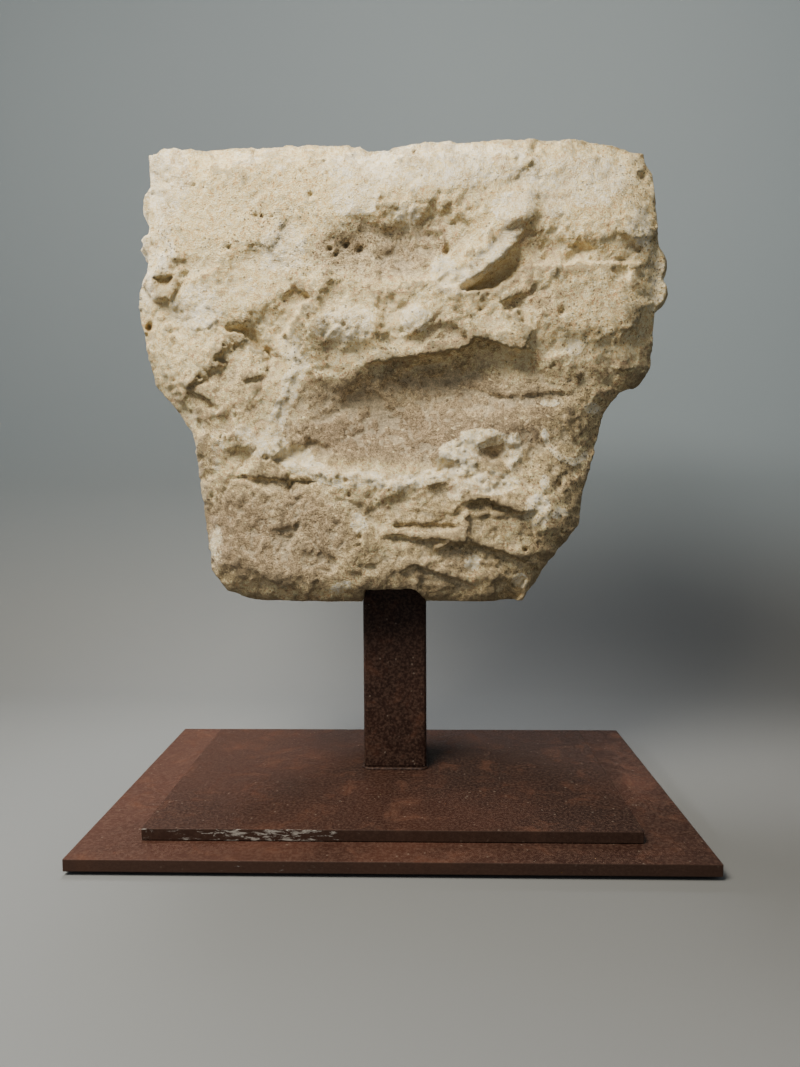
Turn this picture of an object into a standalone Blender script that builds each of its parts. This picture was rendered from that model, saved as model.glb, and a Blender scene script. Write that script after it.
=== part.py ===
# A broken Corinthian capital of pale limestone on a brown steel stand.
# Metres, +Z up. The origin is the middle of the base's underside, on the floor.
# The rough break faces -Y. What is left of the carving faces +Y.

import math

import bpy
import numpy as np
from mathutils import Vector, noise

# Stand
LOWER_PLATE_WIDTH = 0.500
LOWER_PLATE_DEPTH = 0.300
LOWER_PLATE_THICKNESS = 0.010
UPPER_PLATE_WIDTH = 0.400
UPPER_PLATE_DEPTH = 0.240
UPPER_PLATE_THICKNESS = 0.010
PLATE_EDGE_BEVEL = 0.0008
UNDERLAY_THICKNESS = 0.003
UNDERLAY_INSET = 0.011
POST_WIDTH = 0.060
POST_CORNER_BEVEL = 0.004
POST_BACKSET = 0.034        # from the middle of the plates back to the middle of the post
POST_IN_SIGHT = 0.168       # from the upper plate to the stone's underside
SOCKET_DEPTH = 0.030        # how far the post goes up into the stone
SEAT_CLEARANCE = 0.0003     # between pieces that touch

# Stone
STONE_HEIGHT = 0.400
STONE_SIDE_SHIFT = 0.010    # the bell's axis lies this far to +X of the post
BREAK_OVERHANG = 0.039      # from the front of the post forward to the mean plane of the break
NOTCH_HEIGHT = 0.0115       # rough notch in the lower edge of the break, in front of the post
NOTCH_MOUTH_PLAY = 0.004    # how much narrower than the post its mouth is
SOCKET_PLAY = 0.0015        # around the post's sides inside the stone

# Forms of the stone, as shares of its height
BELL_FOOT = 0.375
BELL_WAIST = 0.400
BELL_LIP = 0.490
ABACUS_THICKNESS = 0.115
ABACUS_MIDDLE = 0.530
ABACUS_CORNER = 0.600
ABACUS_CORNER_CUT = 0.070
LEAF_LIFT = 0.004           # of the leaves' backs off the bell
LEAF_THICKNESS = 0.036
LEAF_FOLD = 0.012           # relief of the folds and of the middle rib
LEAF_RIB = 0.015
LOWER_CROWN = 0.385         # heights and reaches of the leaves' curled tips
LOWER_REACH = 0.500
UPPER_CROWN = 0.700
UPPER_REACH = 0.560
SIDE_CROWN = 0.795
SIDE_REACH = 0.590
VOLUTE_MIDDLE = (0.590, 0.800)
VOLUTE_SIZE = 0.068
VOLUTE_BAND = 0.040         # half widths of the spirals' bands
HELIX_BAND = 0.026
HELIX_SIZE = 0.046
HELIX_MIDDLE = (0.094, 0.805)
FLOWER_LEVEL = 0.925
FLOWER_SIZE = 0.044
LOWER_HALF_WIDTH = 0.160
UPPER_HALF_WIDTH = 0.150
SIDE_HALF_WIDTH = 0.165
STEM_FOOT = (0.455, 0.580)  # (from the axis, above the underside) where the outer spirals' stems begin
CORE_DEPTH = 0.150          # rough stone behind the break's edge
FAN_POINT = 1.640           # the broken sides fan out from a point this far in front of the break
FAN_MIDDLE = (0.031, 0.270)

WORN_DEPTH = 0.045          # rounding of the break's edge, and how far in it reaches
WORN_REACH = 0.075

# How finely the stone is resolved
VOXEL_SHARE = 0.0125
BREAK_GRID_SHARE = 0.0125
STONE_TRIANGLES = 8800

# Edge of the break seen from the front, clockwise from the top left corner:
# (right of the axis, above the underside)
BREAK_EDGE = [
    (-0.546, 0.985), (-0.500, 0.998), (-0.423, 0.980), (-0.349, 0.992), (-0.095, 0.988),
    (-0.070, 0.971), (0.048, 0.992), (0.208, 0.999), (0.360, 0.995), (0.431, 0.980),
    (0.505, 0.956), (0.532, 0.918), (0.543, 0.830), (0.550, 0.720), (0.540, 0.610),
    (0.534, 0.510), (0.508, 0.475), (0.470, 0.460), (0.438, 0.420), (0.412, 0.305),
    (0.393, 0.250), (0.385, 0.175), (0.321, 0.094), (0.258, 0.000), (-0.310, 0.000),
    (-0.395, 0.028), (-0.430, 0.075), (-0.443, 0.200), (-0.458, 0.320), (-0.468, 0.380),
    (-0.500, 0.430), (-0.545, 0.482), (-0.563, 0.560), (-0.566, 0.630), (-0.552, 0.770),
    (-0.544, 0.920),
]

# Smooth swellings and hollows of the break:
# (right, up, half width, half height, turn in degrees, how far it stands out)
BREAK_MOUNDS = [
    (0.00, 0.80, 0.66, 0.32, 0, 0.034),
    (-0.02, 0.15, 0.50, 0.20, 0, 0.020),
    (-0.03, 0.77, 0.20, 0.080, 8, -0.024),
    (0.195, 0.790, 0.15, 0.045, 52, 0.016),
    (-0.11, 0.605, 0.10, 0.045, 0, 0.020),
    (0.03, 0.620, 0.05, 0.035, 20, 0.018),
    (0.38, 0.650, 0.18, 0.100, 0, 0.018),
    (0.18, 0.340, 0.10, 0.080, 25, 0.020),
    (0.20, 0.335, 0.040, 0.028, 10, -0.022),
    (0.082, 0.322, 0.022, 0.020, 0, 0.014),
    (-0.40, 0.420, 0.13, 0.20, 10, 0.014),
    (-0.36, 0.315, 0.040, 0.035, 0, -0.016),
    (0.42, 0.350, 0.12, 0.20, 0, -0.020),
    (0.50, 0.930, 0.10, 0.10, 0, -0.024),
    (0.315, 0.758, 0.050, 0.022, 0, -0.018),
    (0.477, 0.722, 0.030, 0.020, 0, -0.014),
]

# Ledges of the break: (points from left to right, stands out above, sinks below, reach)
BREAK_LEDGES = [
    ([(-0.25, 0.488), (-0.16, 0.506), (-0.02, 0.537), (0.12, 0.551), (0.155, 0.582),
      (0.19, 0.574), (0.22, 0.561), (0.30, 0.541)], 0.014, 0.012, 0.040),
    ([(0.28, 0.735), (0.40, 0.738), (0.50, 0.737)], -0.004, -0.016, 0.040),
    ([(-0.24, 0.495), (-0.27, 0.433), (-0.287, 0.374), (-0.258, 0.317)], -0.002, -0.006, 0.030),
    ([(-0.258, 0.317), (-0.18, 0.297), (0.00, 0.265), (0.09, 0.290)], -0.006, -0.010, 0.030),
    ([(0.148, 0.222), (0.179, 0.229), (0.212, 0.220), (0.245, 0.207), (0.275, 0.203)], 0.014, 0.014, 0.022),
    ([(0.08, 0.185), (0.146, 0.188), (0.212, 0.194), (0.256, 0.198)], 0.006, 0.006, 0.014),
    ([(-0.02, 0.174), (0.047, 0.177), (0.108, 0.176)], 0.008, 0.008, 0.014),
    ([(-0.03, 0.150), (0.035, 0.146), (0.086, 0.141)], 0.010, 0.012, 0.018),
    ([(0.082, 0.121), (0.113, 0.130), (0.157, 0.134), (0.201, 0.116), (0.261, 0.094)], 0.011, 0.013, 0.026),
    ([(0.009, 0.074), (0.030, 0.083), (0.053, 0.076), (0.080, 0.063), (0.137, 0.045)], 0.008, 0.010, 0.018),
    ([(-0.479, 0.478), (-0.448, 0.460), (-0.422, 0.445)], 0.010, 0.014, 0.024),
]

# Pockets of the break between two lines, both from left to right:
# (first line, second line, depth, where it is deepest from the first to the second,
# how softly it begins at its left and at its right end)
BREAK_POCKETS = [
    ([(-0.232, 0.500), (-0.16, 0.506), (-0.02, 0.537), (0.12, 0.551), (0.155, 0.582),
      (0.19, 0.574), (0.22, 0.561), (0.30, 0.541), (0.42, 0.500)],
     [(-0.285, 0.375), (-0.262, 0.322), (-0.18, 0.293), (0.00, 0.268), (0.07, 0.290), (0.12, 0.350),
      (0.19, 0.385), (0.27, 0.390), (0.40, 0.425)], 0.078, 0.30, 0.150, 0.300),
    ([(0.108, 0.688), (0.140, 0.706), (0.170, 0.728), (0.200, 0.756), (0.232, 0.790), (0.262, 0.850)],
     [(0.108, 0.684), (0.162, 0.682), (0.203, 0.686), (0.238, 0.706), (0.272, 0.738), (0.284, 0.800)],
     0.042, 0.80, 0.030, 0.045),
    ([(-0.400, 0.272), (-0.352, 0.262), (-0.324, 0.244), (-0.297, 0.230), (-0.250, 0.222), (-0.188, 0.268)],
     [(-0.400, 0.276), (-0.370, 0.281), (-0.341, 0.286), (-0.296, 0.285), (-0.252, 0.276), (-0.188, 0.276)],
     0.024, 0.88, 0.060, 0.020),
    ([(-0.400, 0.612), (-0.365, 0.622), (-0.320, 0.614), (-0.296, 0.590), (-0.280, 0.550)],
     [(-0.396, 0.608), (-0.357, 0.590), (-0.331, 0.572), (-0.309, 0.557), (-0.285, 0.535)],
     0.026, 0.84, 0.030, 0.012),
]

# Rounded remains of side leaves at the outer edges: (right, behind the break, up, half sizes)
SIDE_LOBES = [
    (-0.545, 0.085, 0.800, 0.052, 0.075, 0.032),
    (-0.540, 0.075, 0.665, 0.060, 0.070, 0.105),
    (-0.530, 0.070, 0.560, 0.050, 0.060, 0.070),
    (0.545, 0.080, 0.745, 0.043, 0.060, 0.050),
    (0.540, 0.075, 0.685, 0.050, 0.060, 0.045),
    (0.520, 0.060, 0.560, 0.036, 0.060, 0.085),
]

# The outline seen from the front, where the side leaves stand past the edge of the break
OUTLINE = [
    (-0.550, 0.985), (-0.500, 0.999), (-0.423, 0.981), (-0.349, 0.993), (-0.095, 0.989),
    (-0.070, 0.972), (0.048, 0.993), (0.208, 1.002), (0.360, 0.998), (0.431, 0.982),
    (0.510, 0.960), (0.532, 0.918), (0.545, 0.830), (0.552, 0.795), (0.575, 0.780),
    (0.572, 0.700), (0.578, 0.650), (0.548, 0.628), (0.540, 0.570), (0.534, 0.510),
    (0.508, 0.474), (0.470, 0.459), (0.438, 0.420), (0.412, 0.305), (0.393, 0.250),
    (0.385, 0.175), (0.321, 0.094), (0.258, -0.002), (-0.310, -0.002), (-0.395, 0.027),
    (-0.430, 0.075), (-0.443, 0.200), (-0.458, 0.320), (-0.468, 0.380), (-0.500, 0.430),
    (-0.545, 0.482), (-0.563, 0.560), (-0.590, 0.620), (-0.583, 0.730), (-0.569, 0.786),
    (-0.587, 0.826), (-0.566, 0.940),
]

# Lost pieces of the carved side: (right, behind the break, up, half sizes)
CHIPS = [
    (0.620, 0.610, 0.985, 0.150, 0.130, 0.080),
    (-0.600, 0.640, 0.850, 0.080, 0.110, 0.090),
    (0.230, 0.570, 1.000, 0.110, 0.070, 0.045),
    (-0.130, 0.530, 0.350, 0.080, 0.060, 0.060),
    (0.300, 0.380, -0.010, 0.150, 0.100, 0.045),
    (0.575, 0.290, 0.960, 0.045, 0.090, 0.055),
    (-0.585, 0.330, 0.975, 0.050, 0.120, 0.050),
]


def clearScene():
    for old in list(bpy.data.objects):
        bpy.data.objects.remove(old, do_unlink=True)


def plainMaterial(name, colour, roughness, metallic):
    material = bpy.data.materials.new(name)
    material.use_nodes = True
    shader = material.node_tree.nodes["Principled BSDF"]
    shader.inputs["Base Color"].default_value = (*colour, 1.0)
    shader.inputs["Roughness"].default_value = roughness
    shader.inputs["Metallic"].default_value = metallic
    return material


def meshObject(name, points, faces, material=None):
    mesh = bpy.data.meshes.new(name)
    mesh.from_pydata([tuple(map(float, p)) for p in points], [], [tuple(map(int, f)) for f in faces])
    mesh.validate()
    item = bpy.data.objects.new(name, mesh)
    bpy.context.scene.collection.objects.link(item)
    if material:
        mesh.materials.append(material)
    return item


def hideCutter(item):
    item.hide_render = True
    item.display_type = "WIRE"
    return item


def block(name, low, high, material=None):
    x0, y0, z0 = low
    x1, y1, z1 = high
    points = [
        (x0, y0, z0), (x1, y0, z0), (x1, y1, z0), (x0, y1, z0),
        (x0, y0, z1), (x1, y0, z1), (x1, y1, z1), (x0, y1, z1),
    ]
    faces = [(3, 2, 1, 0), (4, 5, 6, 7), (0, 1, 5, 4), (1, 2, 6, 5), (2, 3, 7, 6), (3, 0, 4, 7)]
    return meshObject(name, points, faces, material)


def slab(name, size, bottom, material):
    width, depth, thickness = size
    low = (-width / 2, -depth / 2, bottom)
    high = (width / 2, depth / 2, bottom + thickness)
    return block(name, low, high, material)


def addBevel(item, width, segments):
    edge = item.modifiers.new("worn edges", "BEVEL")
    edge.width = width
    edge.segments = segments


def smoothStep(value):
    value = np.clip(value, 0.0, 1.0)
    return value * value * (3.0 - 2.0 * value)


def roughness(points, size, octaves, seed):
    """Fractal noise from about -1 to 1 at each point, its largest grains of the given size."""
    shift = Vector((seed * 3.7, seed * 1.9, seed * 5.3))
    values = [
        noise.fractal(Vector(p) / size + shift, 0.9, 2.0, octaves) for p in points
    ]
    return np.array(values)


def distanceToLine(u, v, points):
    """Distance from each (u, v) to a line through the points, and the side it lies on."""
    best = np.full(u.shape, 1e9)
    side = np.zeros(u.shape)
    past = np.zeros(u.shape)
    last = len(points) - 2
    for number in range(len(points) - 1):
        (au, av), (bu, bv) = points[number], points[number + 1]
        du, dv = bu - au, bv - av
        length = max(math.hypot(du, dv), 1e-6)
        along = ((u - au) * du + (v - av) * dv) / length
        inside = np.clip(along, 0.0, length)
        gap = np.hypot(u - au - inside * du / length, v - av - inside * dv / length)
        nearer = gap < best
        best = np.where(nearer, gap, best)
        side = np.where(nearer, ((v - av) * du - (u - au) * dv) / length, side)
        over = np.zeros(u.shape)
        if number == 0:
            over = np.maximum(over, -along)
        if number == last:
            over = np.maximum(over, along - length)
        past = np.where(nearer, over, past)
    return best, side, past


def insideEdge(u, v, edge):
    """Distance from each (u, v) in to the closed edge, negative outside it."""
    distance, _, _ = distanceToLine(u, v, edge + edge[:1])
    inside = np.zeros(u.shape, dtype=bool)
    for (au, av), (bu, bv) in zip(edge, edge[1:] + edge[:1]):
        crosses = (av > v) != (bv > v)
        span = bv - av if bv != av else 1e-9
        inside ^= crosses & (u < au + (v - av) / span * (bu - au))
    return np.where(inside, distance, -distance)


def pocketShare(u, v, first, second, deepest, softLeft, softRight):
    """How deep a pocket is at each place, from 0 at its edges to 1 along its deepest line."""
    near, _, _ = distanceToLine(u, v, first)
    far, _, _ = distanceToLine(u, v, second)
    left, _, _ = distanceToLine(u, v, [first[0], second[0]])
    right, _, _ = distanceToLine(u, v, [first[-1], second[-1]])
    between = near / (near + far + 1e-6)
    depth = smoothStep(np.where(between < deepest, between / deepest, (1.0 - between) / (1.0 - deepest)))
    inside = insideEdge(u, v, first + second[::-1]) > 0.0
    return depth * inside * smoothStep(left / softLeft) * smoothStep(right / softRight)


def breakRelief(u, v):
    """How far the break stands out towards -Y at each place, as a share of the height."""
    relief = np.zeros(u.shape)
    for cu, cv, ru, rv, turn, out in BREAK_MOUNDS:
        c, s = math.cos(math.radians(turn)), math.sin(math.radians(turn))
        a = ((u - cu) * c + (v - cv) * s) / ru
        b = ((v - cv) * c - (u - cu) * s) / rv
        relief += out * smoothStep(1.25 - np.hypot(a, b))
    for points, above, below, reach in BREAK_LEDGES:
        gap, side, past = distanceToLine(u, v, points)
        fade = np.exp(-((gap / reach) ** 2)) * smoothStep(1.0 - past / 0.03)
        crossing = smoothStep(side / 0.010 + 0.5)
        relief += fade * (crossing * above - (1.0 - crossing) * below)
    for first, second, depth, *shape in BREAK_POCKETS:
        relief -= depth * pocketShare(u, v, first, second, *shape)
    worn = 1.0 - np.clip(insideEdge(u, v, BREAK_EDGE) / WORN_REACH, 0.0, 1.0)
    return relief - WORN_DEPTH * worn ** 2


def turnedBody(profile, sides):
    """A solid of revolution from (radius, height) pairs, bottom to top."""
    points, faces = [], []
    for radius, height in profile:
        for k in range(sides):
            angle = 2.0 * math.pi * k / sides
            points.append((radius * math.cos(angle), radius * math.sin(angle), height))
    for ring in range(len(profile) - 1):
        for k in range(sides):
            a = ring * sides + k
            b = ring * sides + (k + 1) % sides
            faces.append((a, b, b + sides, a + sides))
    faces.append(tuple(reversed(range(sides))))
    faces.append(tuple(range((len(profile) - 1) * sides, len(profile) * sides)))
    return np.array(points), faces


def shellBody(front, back):
    """A closed body between two grids of points, rows from bottom to top."""
    rows, columns = front.shape[:2]
    count = rows * columns
    points = np.concatenate([front.reshape(-1, 3), back.reshape(-1, 3)])
    faces = []
    for i in range(rows - 1):
        for j in range(columns - 1):
            a = i * columns + j
            faces.append((a, a + 1, a + 1 + columns, a + columns))
            faces.append((count + a, count + a + columns, count + a + 1 + columns, count + a + 1))
    border = [j for j in range(columns)]
    border += [i * columns + columns - 1 for i in range(1, rows)]
    border += [(rows - 1) * columns + j for j in range(columns - 2, -1, -1)]
    border += [i * columns for i in range(rows - 2, 0, -1)]
    for a, b in zip(border, border[1:] + border[:1]):
        faces.append((b, a, count + a, count + b))
    return points, faces


def sweptBody(path, widths, heights, sides, across):
    """A closed tube of oval section along a path; 'across' is the direction of its width."""
    path = np.array(path)
    along = np.gradient(path, axis=0)
    along /= np.linalg.norm(along, axis=1)[:, None]
    across = np.array(across) - along * np.sum(np.array(across) * along, axis=1)[:, None]
    across /= np.linalg.norm(across, axis=1)[:, None]
    upward = np.cross(across, along)
    points, faces = [], []
    for k in range(sides):
        angle = 2.0 * math.pi * k / sides
        ring = across * (np.array(widths) * math.cos(angle))[:, None]
        ring = ring + upward * (np.array(heights) * math.sin(angle))[:, None]
        points.append(path + ring)
    points = np.array(points).transpose(1, 0, 2).reshape(-1, 3)
    for ring in range(len(path) - 1):
        for k in range(sides):
            a = ring * sides + k
            b = ring * sides + (k + 1) % sides
            faces.append((a, a + sides, b + sides, b))
    faces.append(tuple(range(sides)))
    faces.append(tuple(reversed(range((len(path) - 1) * sides, len(path) * sides))))
    return points, faces


def loopedBody(points, count):
    """A closed body through loops of so many points each."""
    faces = []
    for start in range(0, len(points) - count, count):
        for k in range(count):
            a = start + k
            b = start + (k + 1) % count
            faces.append((a, a + count, b + count, b))
    faces.append(tuple(range(count)))
    faces.append(tuple(reversed(range(len(points) - count, len(points)))))
    return np.array(points), faces


def aroundAxis(angle, radius, height, sideways=0.0):
    """A point of the capital: the angle is measured from +Y towards +X."""
    x = radius * math.sin(angle) + sideways * math.cos(angle)
    y = radius * math.cos(angle) - sideways * math.sin(angle)
    return (x, y, height)


def bellRadius(height):
    flare = smoothStep((height - 0.55) / 0.32) ** 1.6
    body = BELL_FOOT + (BELL_WAIST - BELL_FOOT) * smoothStep(height / 0.6)
    return body + (BELL_LIP - BELL_WAIST) * flare


def bellBody():
    heights = np.linspace(0.0, 1.0 - ABACUS_THICKNESS, 24)
    return turnedBody([(float(bellRadius(h)), float(h)) for h in heights], 72)


def abacusBody():
    """The lid of the capital: four hollow sides, cut corners, a cavetto under a fillet."""
    def outline(inset):
        points = []
        for quarter in range(4):
            turn = quarter * math.pi / 2.0
            reach = ABACUS_CORNER - inset - ABACUS_CORNER_CUT / 2.0
            steps = np.linspace(-1.0, 1.0, 13)
            for step in steps:
                hollow = (ABACUS_CORNER - ABACUS_MIDDLE) * (1.0 - step * step)
                x = step * (reach - ABACUS_CORNER_CUT / 2.0)
                y = ABACUS_CORNER - inset - hollow
                points.append((x * math.cos(turn) + y * math.sin(turn),
                               y * math.cos(turn) - x * math.sin(turn)))
        return points

    levels = [(0.050, 1.0 - ABACUS_THICKNESS), (0.040, 0.915), (0.014, 0.945), (0.010, 0.952),
              (0.0, 0.956), (0.0, 0.992), (0.006, 1.0)]
    points = [(x, y, level) for inset, level in levels for x, y in outline(inset)]
    return loopedBody(points, len(outline(0.0)))


def leafBody(angle, foot, crown, halfWidth, reach, curlStart):
    """An acanthus leaf with a rib, lobes and a curled tip, laid on the bell."""
    rows, columns = 44, 27
    s = np.linspace(0.0, 1.0, rows)
    heading = 0.20 * s + 2.95 * smoothStep((s - curlStart) / (1.0 - curlStart)) ** 0.9
    radius = np.concatenate([[0.0], np.cumsum(np.sin(heading))[:-1]])
    height = np.concatenate([[0.0], np.cumsum(np.cos(heading))[:-1]])
    start = bellRadius(foot) + LEAF_LIFT
    radius = start + radius * (reach - LEAF_THICKNESS - start) / radius.max()
    height = foot + height * (crown - LEAF_THICKNESS - foot) / height.max()
    lobes = sum(np.exp(-(((s - place * curlStart) / 0.026) ** 2)) for place in (0.34, 0.66, 0.97))
    width = halfWidth * (0.82 + 0.24 * np.sin(math.pi * s ** 0.85))
    tip = np.clip((s - curlStart) / (1.0 - curlStart), 0.0, 1.0)
    width *= np.sqrt(1.0 - 0.84 * tip ** 2) * (1.0 - 0.20 * lobes)
    front = np.zeros((rows, columns, 3))
    back = np.zeros((rows, columns, 3))
    for i in range(rows):
        for j, t in enumerate(np.linspace(-1.0, 1.0, columns)):
            vein = (s[i] - 0.16 * abs(t)) / curlStart
            fold = math.cos(2.0 * math.pi * (vein - 0.17) / 0.32) * min(1.0, abs(t) * 2.0)
            rib = math.exp(-((t / 0.11) ** 2)) - 0.8 * math.exp(-(((abs(t) - 0.26) / 0.09) ** 2))
            rise = LEAF_THICKNESS * (1.0 - 0.30 * abs(t) ** 3) + LEAF_FOLD * fold + LEAF_RIB * rib
            sink = -0.020 - 0.06 * (s[i] < 0.8 * curlStart)
            out = (math.cos(heading[i]), -math.sin(heading[i]))
            sideways = float(width[i] * t)
            for grid, lift in ((front, rise), (back, sink)):
                r = radius[i] + out[0] * lift
                spread = sideways / max(r, 0.2)
                grid[i, j] = aroundAxis(angle + spread, r, height[i] + out[1] * lift)
    return shellBody(front, back)


def spiralStem(angle, side):
    """The outer volute: a stem from between the leaves that rolls up under the corner."""
    middle, level = VOLUTE_MIDDLE
    footRadius, footLevel = STEM_FOOT
    path, across, widths, heights = [], [], [], []
    for t in np.linspace(0.0, 1.0, 12)[:-1]:
        turn = angle - side * math.radians(20.0 * (1.0 - t) ** 1.5 + 4.0)
        r = footRadius + (middle - footRadius) * t ** 2
        path.append(aroundAxis(turn, r, footLevel + (level + VOLUTE_SIZE - footLevel) * t ** 0.8))
        across.append(aroundAxis(turn + math.pi / 2.0, 1.0, 0.0))
        widths.append(VOLUTE_BAND * (0.65 + 0.35 * t))
        heights.append(0.026)
    for t in np.linspace(0.0, 1.0, 26):
        roll = 1.40 * 2.0 * math.pi * t
        size = VOLUTE_SIZE * (1.0 - 0.74 * t)
        turn = angle - side * math.radians(4.0)
        path.append(aroundAxis(turn, middle + size * math.sin(roll), level + size * math.cos(roll)))
        across.append(aroundAxis(turn + math.pi / 2.0, 1.0, 0.0))
        widths.append(VOLUTE_BAND)
        heights.append(0.019)
    return sweptBody(path, widths, heights, 10, across)


def cornerWeb(angle):
    """The stone left behind a pair of volutes, which joins them to the bell."""
    path = [aroundAxis(angle, 0.38 + 0.20 * t, 0.66 + 0.24 * t) for t in np.linspace(0.0, 1.0, 6)]
    across = [aroundAxis(angle + math.pi / 2.0, 1.0, 0.0)] * 6
    return sweptBody(path, [0.060, 0.058, 0.054, 0.050, 0.046, 0.044], [0.075] * 6, 12, across)


def helixStem(side):
    """The inner spiral: it rolls up beside the flower on the front."""
    aside, level = HELIX_MIDDLE
    path, across, widths, heights = [], [], [], []
    for t in np.linspace(0.0, 1.0, 10)[:-1]:
        turn = side * math.radians(19.0 - 6.0 * t ** 2)
        path.append(aroundAxis(turn, 0.440 + 0.060 * t, 0.560 + 0.285 * t))
        across.append(aroundAxis(turn, 1.0, 0.0))
        widths.append(0.024)
        heights.append(0.019)
    for t in np.linspace(0.0, 1.0, 22):
        roll = 1.3 * 2.0 * math.pi * t + 0.35
        size = HELIX_SIZE * (1.0 - 0.72 * t)
        place = side * (aside - size * math.sin(roll))
        path.append(aroundAxis(0.0, 0.515 - 0.9 * place * place, level + size * math.cos(roll), place))
        across.append(aroundAxis(0.0, 1.0, 0.0))
        widths.append(HELIX_BAND)
        heights.append(0.015)
    return sweptBody(path, widths, heights, 8, across)


def ovalBody(centre, size):
    """A rounded lump."""
    rows, sides = 9, 16
    profile = []
    for k in range(rows):
        tilt = math.pi * (k + 0.4) / (rows - 0.2)
        profile.append((math.sin(tilt), -math.cos(tilt)))
    points, faces = turnedBody(profile, sides)
    return points * np.array(size) + np.array(centre), faces


def flowerBodies():
    """The flower in the middle of the lid's front: a heart and five petals."""
    size = FLOWER_SIZE
    heart = (0.0, ABACUS_MIDDLE + 0.36 * size, FLOWER_LEVEL)
    bodies = [ovalBody(heart, (0.60 * size, 0.68 * size, 0.60 * size))]
    for k in range(5):
        turn = math.radians(90.0 + 72.0 * k)
        place = (size * math.cos(turn), ABACUS_MIDDLE, FLOWER_LEVEL + 0.9 * size * math.sin(turn))
        bodies.append(ovalBody(place, (0.64 * size, 0.55 * size, 0.60 * size)))
    return bodies


def fanned(u, v, depth):
    """The place behind or before the break that is seen at (u, v) from the fan's point."""
    grow = 1.0 + depth / FAN_POINT
    middleU, middleV = FAN_MIDDLE
    return np.stack([middleU + (u - middleU) * grow, depth, middleV + (v - middleV) * grow], -1)


def coreBody():
    """Rough stone just behind the edge of the break, drawing in to the rear."""
    edge = np.array(BREAK_EDGE)
    loops = []
    for share, shrink in ((-1.0, 1.0), (0.40, 1.0), (0.65, 0.975), (1.0, 0.90)):
        u, v = edge[:, 0] * shrink, 0.5 + (edge[:, 1] - 0.5) * (0.5 + shrink / 2.0)
        loops.append(fanned(u, v, np.full(len(edge), share * CORE_DEPTH)))
    points = np.concatenate(loops)
    points[:, 2] = np.clip(points[:, 2], 0.0, 1.0)
    return loopedBody(points, len(edge))


def carvedBodies():
    bodies = [bellBody(), abacusBody(), coreBody()]
    for x, y, z, rx, ry, rz in SIDE_LOBES:
        bodies.append(ovalBody((x, y, z), (rx, ry, rz)))
    for k in (-3, -1, 1, 3):
        turn = math.radians(22.5 * k)
        bodies.append(leafBody(turn, 0.0, LOWER_CROWN, LOWER_HALF_WIDTH, LOWER_REACH, 0.58))
    for k in (-1, 0, 1):
        turn = math.radians(45.0 * k)
        bodies.append(leafBody(turn, 0.03, UPPER_CROWN, UPPER_HALF_WIDTH, UPPER_REACH, 0.72))
    for side in (-1, 1):
        turn = side * math.radians(84.0)
        bodies.append(leafBody(turn, 0.03, SIDE_CROWN, SIDE_HALF_WIDTH, SIDE_REACH, 0.70))
        corner = side * math.radians(45.0)
        bodies.append(spiralStem(corner, side))
        bodies.append(spiralStem(corner, -side))
        bodies.append(cornerWeb(corner))
        bodies.append(helixStem(side))
        stalk = side * math.radians(22.5)
        path = [aroundAxis(stalk, 0.42 + 0.02 * t, 0.34 + 0.25 * t) for t in np.linspace(0.0, 1.0, 6)]
        across = [aroundAxis(stalk + math.pi / 2.0, 1.0, 0.0)] * 6
        bodies.append(sweptBody(path, [0.036, 0.036, 0.038, 0.044, 0.054, 0.040], [0.040] * 6, 10, across))
    return bodies + flowerBodies()


def chipCutters():
    """Lost pieces of the carved side, as rough lumps taken out of it."""
    bodies = []
    for number, (x, y, z, rx, ry, rz) in enumerate(CHIPS):
        points, faces = ovalBody((x, y, z), (rx, ry, rz))
        push = 1.0 + 0.22 * roughness(points, 0.10, 2, 20 + number)
        middle = np.array([x, y, z])
        bodies.append((middle + (points - middle) * push[:, None], faces))
    return bodies


def stoneFrame():
    """Where the bell's axis meets the underside of the stone, on the plane of the break."""
    postFront = POST_BACKSET - POST_WIDTH / 2.0
    return np.array([STONE_SIDE_SHIFT, postFront - BREAK_OVERHANG, stoneBottom()])


def upperPlateTop():
    lower = UNDERLAY_THICKNESS + SEAT_CLEARANCE + LOWER_PLATE_THICKNESS
    return lower + SEAT_CLEARANCE + UPPER_PLATE_THICKNESS


def stoneBottom():
    return upperPlateTop() + POST_IN_SIGHT


def placed(points):
    return np.array(points) * STONE_HEIGHT + stoneFrame()


def joinedObject(name, bodies):
    points, faces = [], []
    for bodyPoints, bodyFaces in bodies:
        start = len(points)
        points.extend(placed(bodyPoints))
        faces.extend(tuple(start + k for k in face) for face in bodyFaces)
    return meshObject(name, points, faces)


def breakCutter():
    """Everything in front of the break, as one block whose rear side is the break."""
    us = np.arange(-0.72, 0.7201, BREAK_GRID_SHARE)
    vs = np.arange(-0.12, 1.1201, BREAK_GRID_SHARE)
    u, v = np.meshgrid(us, vs)
    relief = breakRelief(u, v)
    flat = np.stack([u.ravel(), np.zeros(u.size), v.ravel()], 1)
    relief += 0.011 * roughness(flat, 0.16, 3, 1).reshape(u.shape)
    relief += 0.0035 * roughness(flat, 0.045, 2, 2).reshape(u.shape)
    return shellBody(fanned(u, v, np.full(u.shape, -0.42)), fanned(u, v, -relief))


def fanCutter():
    """The outer edge drawn out into a fan, which keeps the sides behind the break's outline."""
    edge = np.array(OUTLINE)
    loops = [fanned(edge[:, 0], edge[:, 1], np.full(len(edge), depth)) for depth in (-0.30, 0.90)]
    return loopedBody(np.concatenate(loops), len(edge))


def addBoolean(item, cutter, operation):
    cut = item.modifiers.new(cutter.name, "BOOLEAN")
    cut.operation = operation
    cut.object = cutter
    return cut


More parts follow.
